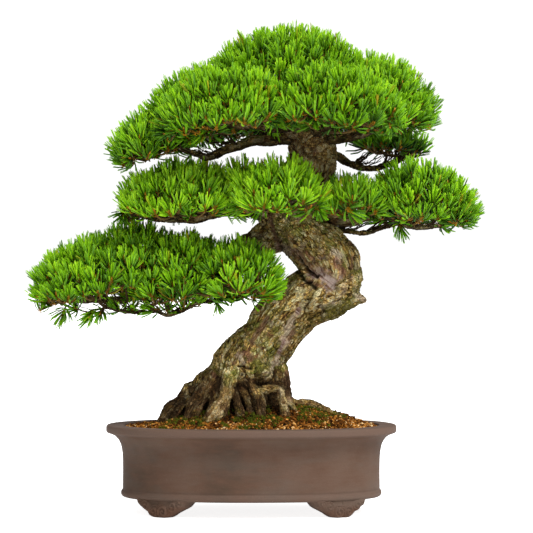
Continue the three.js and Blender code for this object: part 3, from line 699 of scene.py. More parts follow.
# ------------------------------------------------------------------ pot
def oval(inset, angles, z):
    """Points of the pot's oval in millimetres, stepped in from the rim."""
    power = 2 / POT["roundness"]
    c, s = np.cos(angles), np.sin(angles)
    x = (POT["length"] - inset) * np.sign(c) * np.abs(c) ** power
    y = (POT["depth"] - inset) * np.sign(s) * np.abs(s) ** power
    return np.stack([x, y, np.broadcast_to(z, x.shape)], -1)


def even_angles(inset, count):
    """Angles that put points evenly along the oval."""
    fine = np.linspace(0, 2 * np.pi, 4001)
    p = oval(inset, fine, 0.0)
    along = np.concatenate([[0], np.cumsum(np.linalg.norm(np.diff(p, axis=0), axis=1))])
    return np.interp(np.linspace(0, along[-1], count, endpoint=False), along, fine)


def pot_profile():
    """The wall's section as [inset, z]: up the outside, over the rim, down the inside, in over the floor."""
    body, top, floor = POT["body"], POT["rim_top"], POT["floor"]
    inner = body + POT["wall"]
    under = [[12, 0], [4, 0.1], [-0.6, 1.2], [-2.7, 3.8]]
    band = [[-3, 5], [-2.9, 8], [-1.6, 10.6], [-0.2, 12]]
    wall = [[0, 60], [0, 82], [-1.2, 102], [-5, 118], [-13, 129]]
    wall = [[0, 14]] + [[step, height - floor] for step, height in wall]
    inside = [[-7, 126], [-1, 106], [0, 80], [0, 52], [8, 41], [30, 41]]
    from_body = [[[body + step, floor + up] for step, up in part] for part in (under, band, wall)]
    stretches = [
        (from_body[0], 10),
        (from_body[1], 8),
        (from_body[2] + [[6, 134]], 40),
        ([[4, 134.6], [1.6, 135.4], [0.3, 137.2], [0, 139]], 7),
        ([[0, 141], [0.1, 144.4], [1.2, 147], [3.6, top]], 8),
        ([[7, top + 0.1], [17, top - 0.2], [27, top], [29.4, top - 1], [30, top - 3]], 14),
        ([[30.3, 142]] + [[inner + step, z] for step, z in inside], 24),
    ]
    return np.concatenate([spline(points, count) for points, count in stretches])


def pot_body():
    angles = even_angles(POT["body"], 280)
    rings = np.stack([oval(inset, angles, z) for inset, z in pot_profile()])
    wave = 0.5 * noise(rings / 70, 3) + 0.16 * noise(rings / 16, 4)
    outward = unit(rings * np.array([1, 1.6, 0]))
    rings = rings + outward * wave[..., None] + UP * (0.35 * noise(rings / 60, 5))[..., None]
    verts, quads, tris = loft(rings)
    return verts * MM, quads, tris


def foot_edge(along):
    """Height of the foot's lower edge at a distance from its middle."""
    table = np.array(FOOT_EDGE, float)
    return np.interp(along, table[:, 0], table[:, 1])


def scroll(along, height, centre, size, turn):
    """A raised spiral: 1 on its ridge and 0 off it."""
    x, z = along - centre[0], height - centre[1]
    r = np.hypot(x, z)
    phase = r / FOOT["scroll_pitch"] - turn * np.arctan2(z, x) / (2 * np.pi)
    off = np.abs(phase - np.round(phase)) * FOOT["scroll_pitch"]
    return np.exp(-((off / 1.7) ** 2)) * smoothstep(size + 1.5, size - 0.5, r)


def foot_mesh(sign_x, sign_y):
    """A cloud foot that follows the wall, with a scroll on each side and a rounded front."""
    lean = math.radians(FOOT["angle"])
    middle = math.atan2(sign_y * math.sin(lean), sign_x * math.cos(lean)) % (2 * np.pi)
    fine = middle + np.linspace(-0.5, 0.5, 1001)
    p = oval(FOOT["inset"], fine, 0.0)
    along_fine = np.concatenate([[0], np.cumsum(np.linalg.norm(np.diff(p, axis=0), axis=1))])
    along_fine -= np.interp(middle, fine, along_fine)
    towards_front = -sign_x * sign_y
    even = np.linspace(-FOOT["reach"], FOOT["reach"], 161)
    share = np.linspace(0, 1, 41)
    rings = []
    for away in even:
        inner_side = away * towards_front > 0
        along = away * (FOOT["inner_share"] if inner_side else FOOT["outer_share"])
        point = oval(FOOT["inset"], np.array([np.interp(along, along_fine, fine)]), 0.0)[0]
        low = foot_edge(abs(away))
        height = low + (FOOT["height"] - low) * share
        belly = 2.4 * np.sin(np.pi * np.clip((height - low) / 22, 0, 1))
        belly = belly - 2.2 * np.exp(-(((height - low) / 1.4) ** 2))
        side = np.sign(away)
        relief = 0
        for at, up, size, turn, strength in SCROLLS:
            relief = np.maximum(relief, strength * scroll(away, height, (side * at, up), size, side * turn))
        push = 1 + (belly + FOOT["relief"] * relief) / np.linalg.norm(point)
        outer = point[None] * push[:, None]
        outer[:, 2] = height
        back = np.linspace(FOOT["height"], low, 9)
        slant = np.interp(back, [0, FOOT["height"]], [FOOT["inner_low"], FOOT["inner"]])
        inner = point[None] * slant[:, None]
        inner[:, 2] = back
        rings.append(np.concatenate([outer, inner]))
    if sign_x * sign_y > 0:
        rings = [r[::-1] for r in rings]
    verts, quads, tris = loft(rings)
    return verts * MM, quads, tris


def build_pot():
    parts = [pot_body()] + [foot_mesh(x, y) for x in (-1, 1) for y in (-1, 1)]
    verts, quads, tris = merge(parts)
    z = verts[:, 2] / MM
    radius = np.hypot(verts[:, 0] / POT["length"], verts[:, 1] / POT["depth"]) / MM
    rust = smoothstep(21, 10, z) * (0.45 + 0.7 * noise(verts / 0.009, 8))
    values = {
        # The lip is lighter as a painted highlight, the band as wear.
        "rim": smoothstep(132, 137, z) * 0.8 + 0.5 * smoothstep(42, 38, z) * smoothstep(27, 31, z),
        "wear": 0.25 + 0.5 * smoothstep(146, 148, z) + 0.45 * smoothstep(41, 34, z),
        "rust": np.clip(rust, 0, 0.85) * (radius > 0.5),
        "shade": 0.2 * smoothstep(2.4, 0.0, np.abs(z - 41.5)) * (radius > 0.8),
    }
    pot = new_object("pot_clay", verts, [quads, tris], CLAY, values=values)
    carved = hollowness(pot.data, verts / MM, vertex_array(pot.data, "normal"), 10)
    foot = smoothstep(30, 26, z) * (radius > 0.5)
    # In the feet's carving: painted shade in the grooves and a painted highlight on the raised relief.
    set_values(pot.data, "shade", values["shade"] + 0.95 * foot * smoothstep(0.0, 0.24, carved))
    set_values(pot.data, "rim", values["rim"] + 0.9 * foot * smoothstep(-0.05, -0.4, carved))
    finish_piece(pot, "clay", "pot")


# ------------------------------------------------------------------ soil, grains and moss
def soil_edge(x, y, inset):
    """Below one inside the soil's oval, stepped in by so many millimetres, and above one outside it."""
    power = POT["roundness"]
    return (np.abs(x) / (SOIL["length"] - inset)) ** power + (np.abs(y) / (SOIL["depth"] - inset)) ** power


def mound(x, y):
    """Height of the soil in millimetres."""
    away = ((x - SOIL["mound_x"]) / SOIL["spread_x"]) ** 2 + (y / SOIL["spread_y"]) ** 2
    edge = soil_edge(x, y, 0)
    return SOIL["edge"] + (SOIL["mound"] * np.exp(-away) + 3) * np.maximum(0, 1 - edge**4)


def lumpy_mound(x, y):
    flat = np.stack([x, y, np.zeros_like(x)], -1)
    left = 12 * np.exp(-(((x + 78) / 62) ** 2) - ((y + 58) / 46) ** 2)
    return mound(x, y) + left + 2.2 * noise(flat / 26, 21) + 1.0 * noise(flat / 9, 22) - 1.6


def build_soil():
    angles = even_angles(31, 160)
    inner = POT["body"] + POT["wall"] + 0.4
    top = 31.5
    sides = ((inner, 62.4), (inner, 106.0), (inner - 6.6, 126.0), (top, 141.0))
    rings = [oval(inset, angles, z) for inset, z in sides]
    for share in np.linspace(0.985, 0.015, 60):
        ring = oval(top, angles, 0.0) * share
        ring[:, 2] = lumpy_mound(ring[:, 0], ring[:, 1])
        rings.append(ring)
    verts, quads, tris = loft(rings)
    # The bed under the grains is kept dark: painted shade in the gaps between the grains.
    values = {"tone": 0.08 + 0.12 * noise(verts / 6, 23), "green": np.zeros(len(verts))}
    soil = new_object("soil_bed", verts * MM, [quads, tris], GRAINS, values=values)
    finish_piece(soil, "soil", "soil")


def icosahedron():
    """Vertices and faces of a regular solid with twenty faces."""
    g = (1 + 5**0.5) / 2
    v = unit(np.array([[-1, g, 0], [1, g, 0], [-1, -g, 0], [1, -g, 0], [0, -1, g], [0, 1, g],
                       [0, -1, -g], [0, 1, -g], [g, 0, -1], [g, 0, 1], [-g, 0, -1], [-g, 0, 1]]))
    f = np.array([[0, 11, 5], [0, 5, 1], [0, 1, 7], [0, 7, 10], [0, 10, 11], [1, 5, 9], [5, 11, 4],
                  [11, 10, 2], [10, 7, 6], [7, 1, 8], [3, 9, 4], [3, 4, 2], [3, 2, 6], [3, 6, 8],
                  [3, 8, 9], [4, 9, 5], [2, 4, 11], [6, 2, 10], [8, 6, 7], [9, 8, 1]])
    return v, f


def octahedron():
    """Vertices and faces of a regular solid with eight faces."""
    v = np.array([[1, 0, 0], [-1, 0, 0], [0, 1, 0], [0, -1, 0], [0, 0, 1], [0, 0, -1]], float)
    f = np.array([[0, 2, 4], [2, 1, 4], [1, 3, 4], [3, 0, 4], [2, 0, 5], [1, 2, 5], [3, 1, 5], [0, 3, 5]])
    return v, f


def random_turns(count, rng):
    """Random rotation matrices."""
    a = unit(rng.normal(size=(count, 3)))
    b = unit(np.cross(a, rng.normal(size=(count, 3))))
    return np.stack([a, b, np.cross(a, b)], 1)


def pebbles(places, sizes, rng, solid=None):
    """Angular lumps at the given places, with a random shape each."""
    v, f = solid or icosahedron()
    count = len(places)
    shape = v[None] * (1 + 0.28 * rng.uniform(-1, 1, (count, len(v), 1)))
    shape = shape * rng.uniform(0.7, 1.15, (count, 1, 3))
    shape = np.einsum("nij,nvj->nvi", random_turns(count, rng), shape)
    verts = places[:, None] + shape * sizes[:, None, None]
    faces = f[None] + (np.arange(count) * len(v))[:, None, None]
    return verts.reshape(-1, 3), faces.reshape(-1, 3), np.repeat(np.arange(count), len(v))


def build_grains():
    rng = np.random.default_rng(31)
    for name, count, sizes, solid in (
        ("soil_grains", 2600, (1.8, 3.2), icosahedron()),
        ("soil_crumbs", 17000, (1.0, 1.9), octahedron()),
    ):
        spread = np.sqrt(rng.uniform(0, 1, count))[:, None]
        p = oval(33.5, rng.uniform(0, 2 * np.pi, count), 0.0) * spread
        size = rng.uniform(*sizes, count)
        p[:, 2] = lumpy_mound(p[:, 0], p[:, 1]) + size * rng.uniform(-0.2, 0.9, count)
        verts, faces, owner = pebbles(p, size, rng, solid)
        near_trunk = smoothstep(140, 70, np.hypot(p[:, 0] + 12, 1.25 * p[:, 1]))
        near_rim = smoothstep(0.72, 0.94, spread[:, 0])
        tone = rng.normal(0.46, 0.22, count) + 0.16 * noise(p / 30, 33)
        tone = np.clip(tone - 0.46 * near_trunk + 0.16 * near_rim, 0, 1)
        patches = noise(p / 21, 34) + 0.6 * noise(p / 8, 35) + 0.75 * near_trunk - 0.2 * near_rim
        green = (patches > 0.8) * rng.uniform(0.2, 1.0, count)
        values = {"tone": tone[owner], "green": green[owner]}
        grains = new_object(name, verts * MM, [faces], GRAINS, smooth=False, values=values)
        finish_piece(grains, "soil")


MOSS_BEDS = {"moss_left": (-108, -62, 44), "moss_front": (6, -98, 36), "moss_right": (112, -40, 40)}


def build_moss():
    """Low cushions in uneven patches, with short blades standing on them."""
    rng = np.random.default_rng(41)
    for name, (cx, cy, reach) in MOSS_BEDS.items():
        count = 620
        r = reach * np.sqrt(rng.uniform(0, 1, count)) * 1.6
        a = rng.uniform(0, 2 * np.pi, count)
        p = np.stack([cx + r * np.cos(a), cy + r * np.sin(a), np.zeros(count)], -1)
        keep = 0.9 * noise(p / 14, 43) + 0.6 * noise(p / 6, 44) + 0.7 - 0.7 * r / reach > 0.15
        keep &= soil_edge(p[:, 0], p[:, 1], 5) < 1
        p = p[keep]
        size = rng.uniform(1.8, 4.0, len(p))
        p[:, 2] = lumpy_mound(p[:, 0], p[:, 1]) - 0.6
        verts, faces, owner = pebbles(p, size, rng)
        tuft_tone = rng.uniform(0.2, 0.8, len(p))
        blades = 9
        start = np.repeat(p, blades, 0) + rng.normal(0, 1.4, (len(p) * blades, 3)) * [1, 1, 0.3]
        lean = unit(rng.normal(0, 0.5, (len(start), 3)) + UP)
        length = rng.uniform(3.5, 6.5, len(start))
        steps = np.linspace(0, 1, 3)
        paths = start[:, None] + lean[:, None] * (length[:, None] * steps)[..., None]
        radii = np.broadcast_to(np.array([0.55, 0.42, 0.12]), paths.shape[:2])
        bv, bq, bt = tubes(paths, radii, 3)
        blade_tone = np.repeat(rng.uniform(0.4, 1.0, len(start)), len(bv) // len(start))
        tone = np.concatenate([tuft_tone[owner], blade_tone])
        faces = [faces, bq + len(verts), bt + len(verts)]
        verts = np.concatenate([verts, bv]) * MM
        made = new_object(name + "_cushions", verts, faces, MOSS, values={"tone": tone})
        finish_piece(made, "moss", name)


# ------------------------------------------------------------------ bark
class Limbs:
    """Middle lines of limbs, to find how far along and how far round each bark vertex is."""

    def __init__(self, limbs):
        places, tangents, normals, alongs = [], [], [], []
        offset = 0.0
        for points in limbs:
            p = spline(points, 14 * len(points))[:, :3]
            t = unit(np.gradient(p, axis=0))
            normal = unit(np.cross(t[0], [0.3, 1.0, 0.1]))
            along = np.concatenate([[0], np.cumsum(np.linalg.norm(np.diff(p, axis=0), axis=1))])
            for k in range(len(p)):
                normal = unit(normal - t[k] * np.dot(normal, t[k]))
                normals.append(normal)
            places.append(p)
            tangents.append(t)
            alongs.append(along + offset)
            offset += 3000
        self.places = np.concatenate(places)
        self.tangents = np.concatenate(tangents)
        self.normals = np.array(normals)
        self.alongs = np.concatenate(alongs)
        self.tree = KDTree(len(self.places))
        for k, p in enumerate(self.places):
            self.tree.insert(Vector(p), k)
        self.tree.balance()

    def straighten(self, verts):
        """Each vertex in its limb's own straightened space: along, across and across again."""
        nearest = np.array([self.tree.find(Vector(v))[1] for v in verts])
        off = verts - self.places[nearest]
        t, n = self.tangents[nearest], self.normals[nearest]
        along = self.alongs[nearest] + np.sum(off * t, -1)
        return np.stack([along, np.sum(off * n, -1), np.sum(off * np.cross(t, n), -1)], -1)


# Marks on the trunk's front: their paint, how far they stand out, half width, and x and z along them.
MARKS = [
    ("pink", -6.5, 15, [[102, 405], [114, 403], [124, 396], [134, 389]]),
    ("lilac", -1.0, 10, [[124, 392], [136, 390]]),
    ("scar", -3.5, 9, [[74, 440], [88, 425], [104, 413], [116, 404]]),
    ("scar", 1.5, 3, [[92, 440], [106, 424], [124, 410], [138, 404]]),
    ("crack_and_shade", -8.0, 4.5, [[74, 414], [82, 402], [92, 390], [104, 381]]),
    ("crack_and_shade", -4.0, 2.2, [[78, 430], [92, 411], [108, 398]]),
    ("scar", -2.5, 5, [[92, 396], [106, 387], [122, 381]]),
    ("pale", 1.5, 5, [[119, 348], [128, 350], [138, 355]]),
    ("pink", -1.0, 5, [[56, 292], [50, 278], [43, 262]]),
    ("pale", 1.0, 7, [[70, 330], [64, 316], [58, 300]]),
    ("pale", 0.6, 5, [[44, 262], [36, 250], [30, 240]]),
    ("scar", -1.5, 7, [[70, 304], [64, 297]]),
    ("scar", -2.0, 6.5, [[27, 330], [16, 312], [2, 292]]),
    ("pink", -1.0, 5, [[78, 343], [77, 338]]),
    ("pale", -0.8, 7, [[138, 441], [146, 436]]),
    ("scar", -1.5, 5, [[172, 432], [170, 414]]),
    ("scar", -0.8, 8, [[140, 425], [152, 408]]),
    ("crack_and_shade", -4.0, 1.8, [[168, 412], [166, 396], [163, 374]]),
    ("crack_and_shade", -3.5, 1.6, [[185, 432], [184, 414], [181, 392]]),
    ("crack_and_shade", -3.0, 1.4, [[176, 436], [176, 420], [172, 400]]),
    ("crack_and_shade", -3.5, 1.8, [[104, 372], [98, 358], [90, 346], [88, 334]]),
    ("crack_and_shade", -3.0, 1.6, [[118, 340], [108, 334], [100, 326]]),
    ("pale", 2.0, 5, [[-19, 262], [-15, 256]]),
    ("crack_and_shade", -4.0, 2, [[-22, 250], [-10, 246], [0, 244]]),
    ("scar", -0.6, 7, [[-6, 268], [0, 260]]),
    ("scar", -0.6, 3, [[-34, 258], [-31, 253]]),
    ("scar", -0.8, 6, [[-66, 236], [-60, 230]]),
    ("green", 1.0, 9, [[8, 252], [22, 246]]),
    ("green", 1.5, 15, [[132, 342], [150, 344], [164, 352]]),
    ("green", 0.5, 8, [[36, 276], [30, 268]]),
    ("scar", -3.0, 6, [[30, 500], [34, 482], [44, 456], [54, 432]]),
    ("pale", 1.0, 5, [[176, 366], [186, 361], [193, 360]]),
    ("pale", 0.8, 6, [[44, 452], [62, 440]]),
    ("scar", 0.0, 7, [[60, 236], [66, 214], [66, 196]]),
]
PAINTS = ("pink", "lilac", "pale", "scar", "green", "crack_and_shade")
ROOT_TOP = 244
# Which of the roots are worn bare and pale, by their places in the list.
BARE_ROOTS = (2, 4, 5)


def nearest_on(line, x, z):
    """Distance from places in the front plane to a bent line."""
    best = np.full(len(x), 1e9)
    for (ax, az), (bx, bz) in zip(line, line[1:]):
        dx, dz = bx - ax, bz - az
        t = np.clip(((x - ax) * dx + (z - az) * dz) / (dx * dx + dz * dz), 0, 1)
        best = np.minimum(best, np.hypot(x - ax - t * dx, z - az - t * dz))
    return best


def hollowness(mesh, verts, normals, rounds):
    """How far each vertex lies below the smoothed skin around it, in millimetres."""
    ends = np.empty(len(mesh.edges) * 2, np.int32)
    mesh.edges.foreach_get("vertices", ends)
    a, b = ends.reshape(-1, 2).T
    size = len(verts)
    count = np.maximum(np.bincount(a, minlength=size) + np.bincount(b, minlength=size), 1)[:, None]
    smooth = verts.copy()
    for _ in range(rounds):
        pulled = [np.bincount(a, smooth[b, k], size) + np.bincount(b, smooth[a, k], size) for k in range(3)]
        smooth = np.stack(pulled, -1) / count
    return np.sum((smooth - verts) * normals, -1)


def painted(verts, normals):
    """What the marks paint on the trunk's front, and how far they raise it."""
    x, z = verts[:, 0], verts[:, 2]
    facing = smoothstep(0.25, -0.2, normals[:, 1])
    ragged = 1 + 0.7 * noise(verts / 9, 77) + 0.5 * noise(verts / 4.5, 78)
    masks = {key: np.zeros(len(x)) for key in PAINTS}
    lift = np.zeros(len(x))
    for kind, raised, reach, line in MARKS:
        away = nearest_on(line, x, z)
        mask = smoothstep(reach * 1.2, reach * 0.45, away * ragged) * facing
        masks[kind] = np.maximum(masks[kind], mask)
        lift += raised * mask
    return masks, lift


def plate_relief(grain, plate_size):
    """Heights of the plates and flakes, in shares of the bark's depth, and the gaps between them."""
    warp = np.stack([noise(grain / 18, 50 + k) + 0.5 * noise(grain / 7, 54 + k) for k in range(3)], -1) * 6
    near, after, number = cells((grain + warp) / np.array(plate_size), 60)
    some = smoothstep(-0.35, 0.4, noise(grain / 22, 59))
    gap = (1 - smoothstep(0.02, 0.2, after - near)) * some
    near, after, small = cells((grain + warp * 0.6) / (np.array(plate_size) * 0.45), 61)
    chip = 1 - smoothstep(0.0, 0.3, after - near)
    ripple = 0.5 * noise(grain / np.array([10, 2.8, 2.8]), 62)
    return 0.55 * number - 0.95 * gap - 0.3 * chip + 0.35 * small + ripple, gap


def patches(verts, normals, grain, marked):
    """How much of each paint lies on each vertex, and how far the marks raise it in millimetres."""
    masks, lift = {key: np.zeros(len(verts)) for key in PAINTS}, 0
    if marked:
        masks, lift = painted(verts, normals)
        rust = 0.4 * smoothstep(530, 570, verts[:, 2] + 20 * noise(verts / 14, 66))
        masks["scar"] = np.maximum(masks["scar"], rust)
    behind = smoothstep(-0.1, 0.3, normals[:, 1])
    wild = noise(grain / np.array([34, 13, 13]), 68) + 0.3 * noise(grain / 6, 58)
    masks["scar"] = np.maximum(masks["scar"], smoothstep(0.48, 0.7, wild) * (0.45 + 0.55 * behind))
    masks["pale"] = np.maximum(masks["pale"], smoothstep(-0.5, -0.72, wild) * (0.5 + 0.5 * behind))
    return masks, lift


def damp_and_shaded_foot(verts, normals, recess_shade):
    """Damp earth and painted shade at the foot of the tree, how low each vertex lies in it, and its worn bare
    roots.
    """
    x, z = verts[:, 0], verts[:, 2]
    edge = z + 14 * noise(verts / 16, 64) + 12 * smoothstep(-70, -110, x)
    low = smoothstep(ROOT_TOP, ROOT_TOP - 26, edge)
    inner = smoothstep(66, 52, np.hypot(x + 8, verts[:, 1]))
    bare = np.zeros(len(verts))
    for root in BARE_ROOTS:
        line = [(at, height) for at, _, height, _ in ROOTS[root]]
        thickness = ROOTS[root][2][3]
        bare = np.maximum(bare, smoothstep(1.15, 0.75, nearest_on(line, x, z) / thickness))
    bare *= smoothstep(0.2, -0.2, normals[:, 1])
    # Darker in the hollows and near the trunk's middle: painted shade on the damp earth.
    damp_and_shade = low * (0.85 + 0.3 * noise(verts / 11, 65) + 0.6 * recess_shade + 0.4 * inner)
    return np.clip(damp_and_shade - 0.72 * bare, 0, 0.95), low, bare


def bark(mesh, verts, normals, limbs, plate_size, depth, marked):
    """Displaced vertices in millimetres, and the numbers that the bark material reads."""
    x, y, z = verts.T
    grain = limbs.straighten(verts)
    relief, gap = plate_relief(grain, plate_size)
    masks, lift = patches(verts, normals, grain, marked)
    smooth = np.clip(masks["pink"] + 0.35 * masks["scar"] + 0.15 * masks["pale"], 0, 1)
    calm = 1 - 0.9 * smooth
    moved = verts + normals * (lift + depth * relief * calm)[:, None]
    hollow = hollowness(mesh, moved, normals, 40)
    # Painted shade in the hollows of the bark.
    recess_shade = smoothstep(0.6, 3.6, hollow)
    # Raised bark, which gets a painted highlight.
    proud = smoothstep(-0.8, -3.4, hollow) * (0.6 + 0.6 * noise(grain / 12, 57))
    damp_and_shade, low, bare = damp_and_shaded_foot(verts, normals, recess_shade)
    moss = np.clip(0.5 + 0.25 * normals[:, 2] + 0.55 * noise(verts / 45, 63), 0, 1)
    green = smoothstep(215, 175, z + 10 * noise(verts / 8, 67)) * smoothstep(0.05, 0.4, noise(verts / 9, 69))
    shade = 0.62 - 0.3 * normals[:, 2]
    if marked:
        under = smoothstep(0.1, -0.7, normals[:, 2]) * smoothstep(620, 560, z)
        shade = 0.25 * smoothstep(620, 650, z) + 0.3 * under
    values = {
        "grain": grain * MM,
        "flow": np.stack([0.78 * x - 0.62 * z, 0.62 * x + 0.78 * z, y], -1) * MM,
        # Dark drawn cracks, dark joints between plates, and painted shade in the hollows.
        "crack_and_shade": np.clip(masks["crack_and_shade"] + 0.5 * gap * calm + 0.85 * recess_shade * (1 - masks["pink"]), 0, 1),
        "pink": masks["pink"],
        "lilac": masks["lilac"],
        "pale": masks["pale"] * 0.85,
        "scar": masks["scar"] * (1 - masks["pink"]),
        "green": np.clip(masks["green"] * 0.75 + 0.65 * green, 0, 1),
        "smooth": smooth,
        "moss": moss * (1 - damp_and_shade) * smoothstep(160, 240, z),
        "damp_and_shade": damp_and_shade,
        # Worn bare roots, and a painted highlight on raised bark.
        "worn_and_highlight": np.clip(0.22 * proud + 0.3 * bare * low, 0, 1),
        "shade": shade,
    }
    return moved, values


def write_bark(piece, limbs, plate_size, depth, marked=False):
    mesh = piece.data
    verts = vertex_array(mesh) / MM
    normals = vertex_array(mesh, "normal")
    moved, values = bark(mesh, verts, normals, limbs, plate_size, depth, marked)
    for key, value in values.items():
        set_values(mesh, key, value)
    move_vertices(mesh, moved)


def limb_mesh(points, sides=20, lumps=0.06, seed=0):
    line = spline(points, 8 * len(points))
    path, r = line[None, :, :3], line[:, 3]
    r = r * (1 + lumps * noise(line[:, :3] / 17, seed))
    verts, quads, tris = tubes(path, r[None], sides)
    return verts * MM, quads, tris


def ball(centre, size):
    """A round swelling, as a short limb."""
    turn = np.linspace(-0.49, 0.49, 11) * np.pi
    points = [[centre[0], centre[1], centre[2] + size * math.sin(a), size * math.cos(a)] for a in turn]
    return limb_mesh(points, 14, 0)


def build_trunk():
    collars = [points[:2] for points in BRANCHES.values()]
    collars = [[p[0][:3] + [p[0][3] * 1.25], list(np.mean(p, 0)[:3]) + [p[1][3] * 1.05]] for p in collars]
    parts = [limb_mesh(TRUNK, 40, 0.03), limb_mesh(STUB, 14)]
    parts += [limb_mesh(points, 24, 0.05) for points in SWELLINGS]
    parts += [limb_mesh(root, 16, 0.2, k) for k, root in enumerate(ROOTS)]
    parts += [limb_mesh(root, 9, 0.3, k) for k, root in enumerate(FINE_ROOTS)]
    parts += [limb_mesh(collar, 14) for collar in collars]
    parts += [ball(centre, size) for centre, size in BURLS]
    trunk = voxel_skin("trunk_bark", parts, 0.0022, 4, BARK)
    verts = vertex_array(trunk.data) / MM
    normals = vertex_array(trunk.data, "normal")
    swell = 3.0 * noise(verts / 42, 70) + 1.6 * noise(verts / 19, 71)
    move_vertices(trunk.data, verts + normals * swell[:, None])
    lines = [TRUNK, STUB, *SWELLINGS[1:], *ROOTS, *FINE_ROOTS, *BRANCHES.values()]
    write_bark(trunk, Limbs(lines), (30, 11, 11), 2.8, marked=True)
    finish_piece(trunk, "bark", "trunk")


def build_branches():
    for k, (name, points) in enumerate(BRANCHES.items()):
        line = spline(points, 16 * len(points))
        wander = np.stack([noise(line[:, :3] / 24, 80 + k + axis) for axis in range(3)], -1) * 2.2
        line[:, :3] += wander * smoothstep(0, 10, np.arange(len(line)))[:, None]
        line[:, 3] *= 1 + 0.12 * noise(line[:, :3] / 11, 90 + k)
        verts, quads, tris = tubes(line[None, :, :3], line[None, :, 3], 22)
        branch = new_object(name + "_bark", verts * MM, [quads, tris], BARK)
        write_bark(branch, Limbs([points]), (16, 6, 6), 1.5)
        finish_piece(branch, "bark", name)


# ------------------------------------------------------------------ needles
def lean_matrix(degrees):
    a = math.radians(degrees)
    return np.array([[math.cos(a), 0, math.sin(a)], [0, 1, 0], [-math.sin(a), 0, math.cos(a)]])


def dome_points(pad, inset, count, rng, lowest):
    """Random places over a dome's skin, even by area, with their outward normals, in millimetres."""
    at, half, up, down, lean = pad
    wide, deep = half[0] - inset, half[1] - inset
    u = unit(rng.normal(size=(count * 3, 3)))
    u = u[u[:, 2] > lowest]
    tall = np.where(u[:, 2] > 0, max(up - inset, 12), max(down - inset * 0.35, 4))
    slope = np.stack([u[:, 0] / wide, u[:, 1] / deep, u[:, 2] / tall], -1)
    stretch = wide * deep * tall * np.linalg.norm(slope, axis=1)
    keep = rng.uniform(0, stretch.max(), len(u)) < stretch
    p = np.stack([u[:, 0] * wide, u[:, 1] * deep, u[:, 2] * tall], -1)[keep][:count]
    normal = unit(slope)[keep][:count]
    turn = lean_matrix(lean)
    return p @ turn.T + np.array(at), normal @ turn.T


def inside_depth(p, pad, inset):
    """About how deep in a dome each place is, in millimetres, and below zero outside."""
    at, half, up, down, lean = pad
    q = (p - np.array(at)) @ lean_matrix(lean)
    wide = max(half[0] - inset, 8), max(half[1] - inset, 8)
    tall = np.where(q[:, 2] > 0, max(up - inset, 8), max(down - inset * 0.35, 4))
    r = np.sqrt((q[:, 0] / wide[0]) ** 2 + (q[:, 1] / wide[1]) ** 2 + (q[:, 2] / tall) ** 2)
    return (1 - r) * np.minimum(min(wide), tall)


def thin_out(p, spacing):
    """Which places to keep so that none lies closer to another than the spacing."""
    grid = {}
    kept = []
    cell = np.floor(p / spacing).astype(int)
    for k in range(len(p)):
        key = tuple(cell[k])
        around = [tuple(key[axis] + step[axis] - 1 for axis in range(3)) for step in np.ndindex(3, 3, 3)]
        near = [j for place in around for j in grid.get(place, ())]
        if near and np.min(np.sum((p[near] - p[k]) ** 2, axis=1)) < spacing**2:
            continue
        grid.setdefault(key, []).append(k)
        kept.append(k)
    return np.array(kept, int)


def place_tufts(inset, spacing, lowest, seed):
    """Tuft places and directions over all the domes at once, and each one's dome."""
    rng = np.random.default_rng(seed)
    places, normals, owners = [], [], []
    for k, pad in enumerate(PADS.values()):
        if min(pad[1]) - inset < 8:
            continue
        p, n = dome_points(pad, inset, 2600, rng, lowest)
        hidden = np.zeros(len(p), bool)
        for other, other_pad in enumerate(PADS.values()):
            if other != k:
                hidden |= inside_depth(p, other_pad, inset) > 8
        p, n = p[~hidden], n[~hidden]
        p = p + n * (5.5 * noise(p / 34, 101) + 2.5 * noise(p / 15, 102))[:, None]
        places.append(p)
        normals.append(n)
        owners.append(np.full(len(p), k))
    places, normals, owners = (np.concatenate(a) for a in (places, normals, owners))
    order = rng.permutation(len(places))
    places, normals, owners = places[order], normals[order], owners[order]
    kept = thin_out(places, spacing)
    return places[kept], normals[kept], owners[kept]


def frame_of(direction):
    """Two directions across each given one."""
    aside = unit(np.cross(direction, np.where(np.abs(direction[:, 2:]) < 0.9, UP, np.array([1.0, 0, 0]))))
    return aside, np.cross(direction, aside)


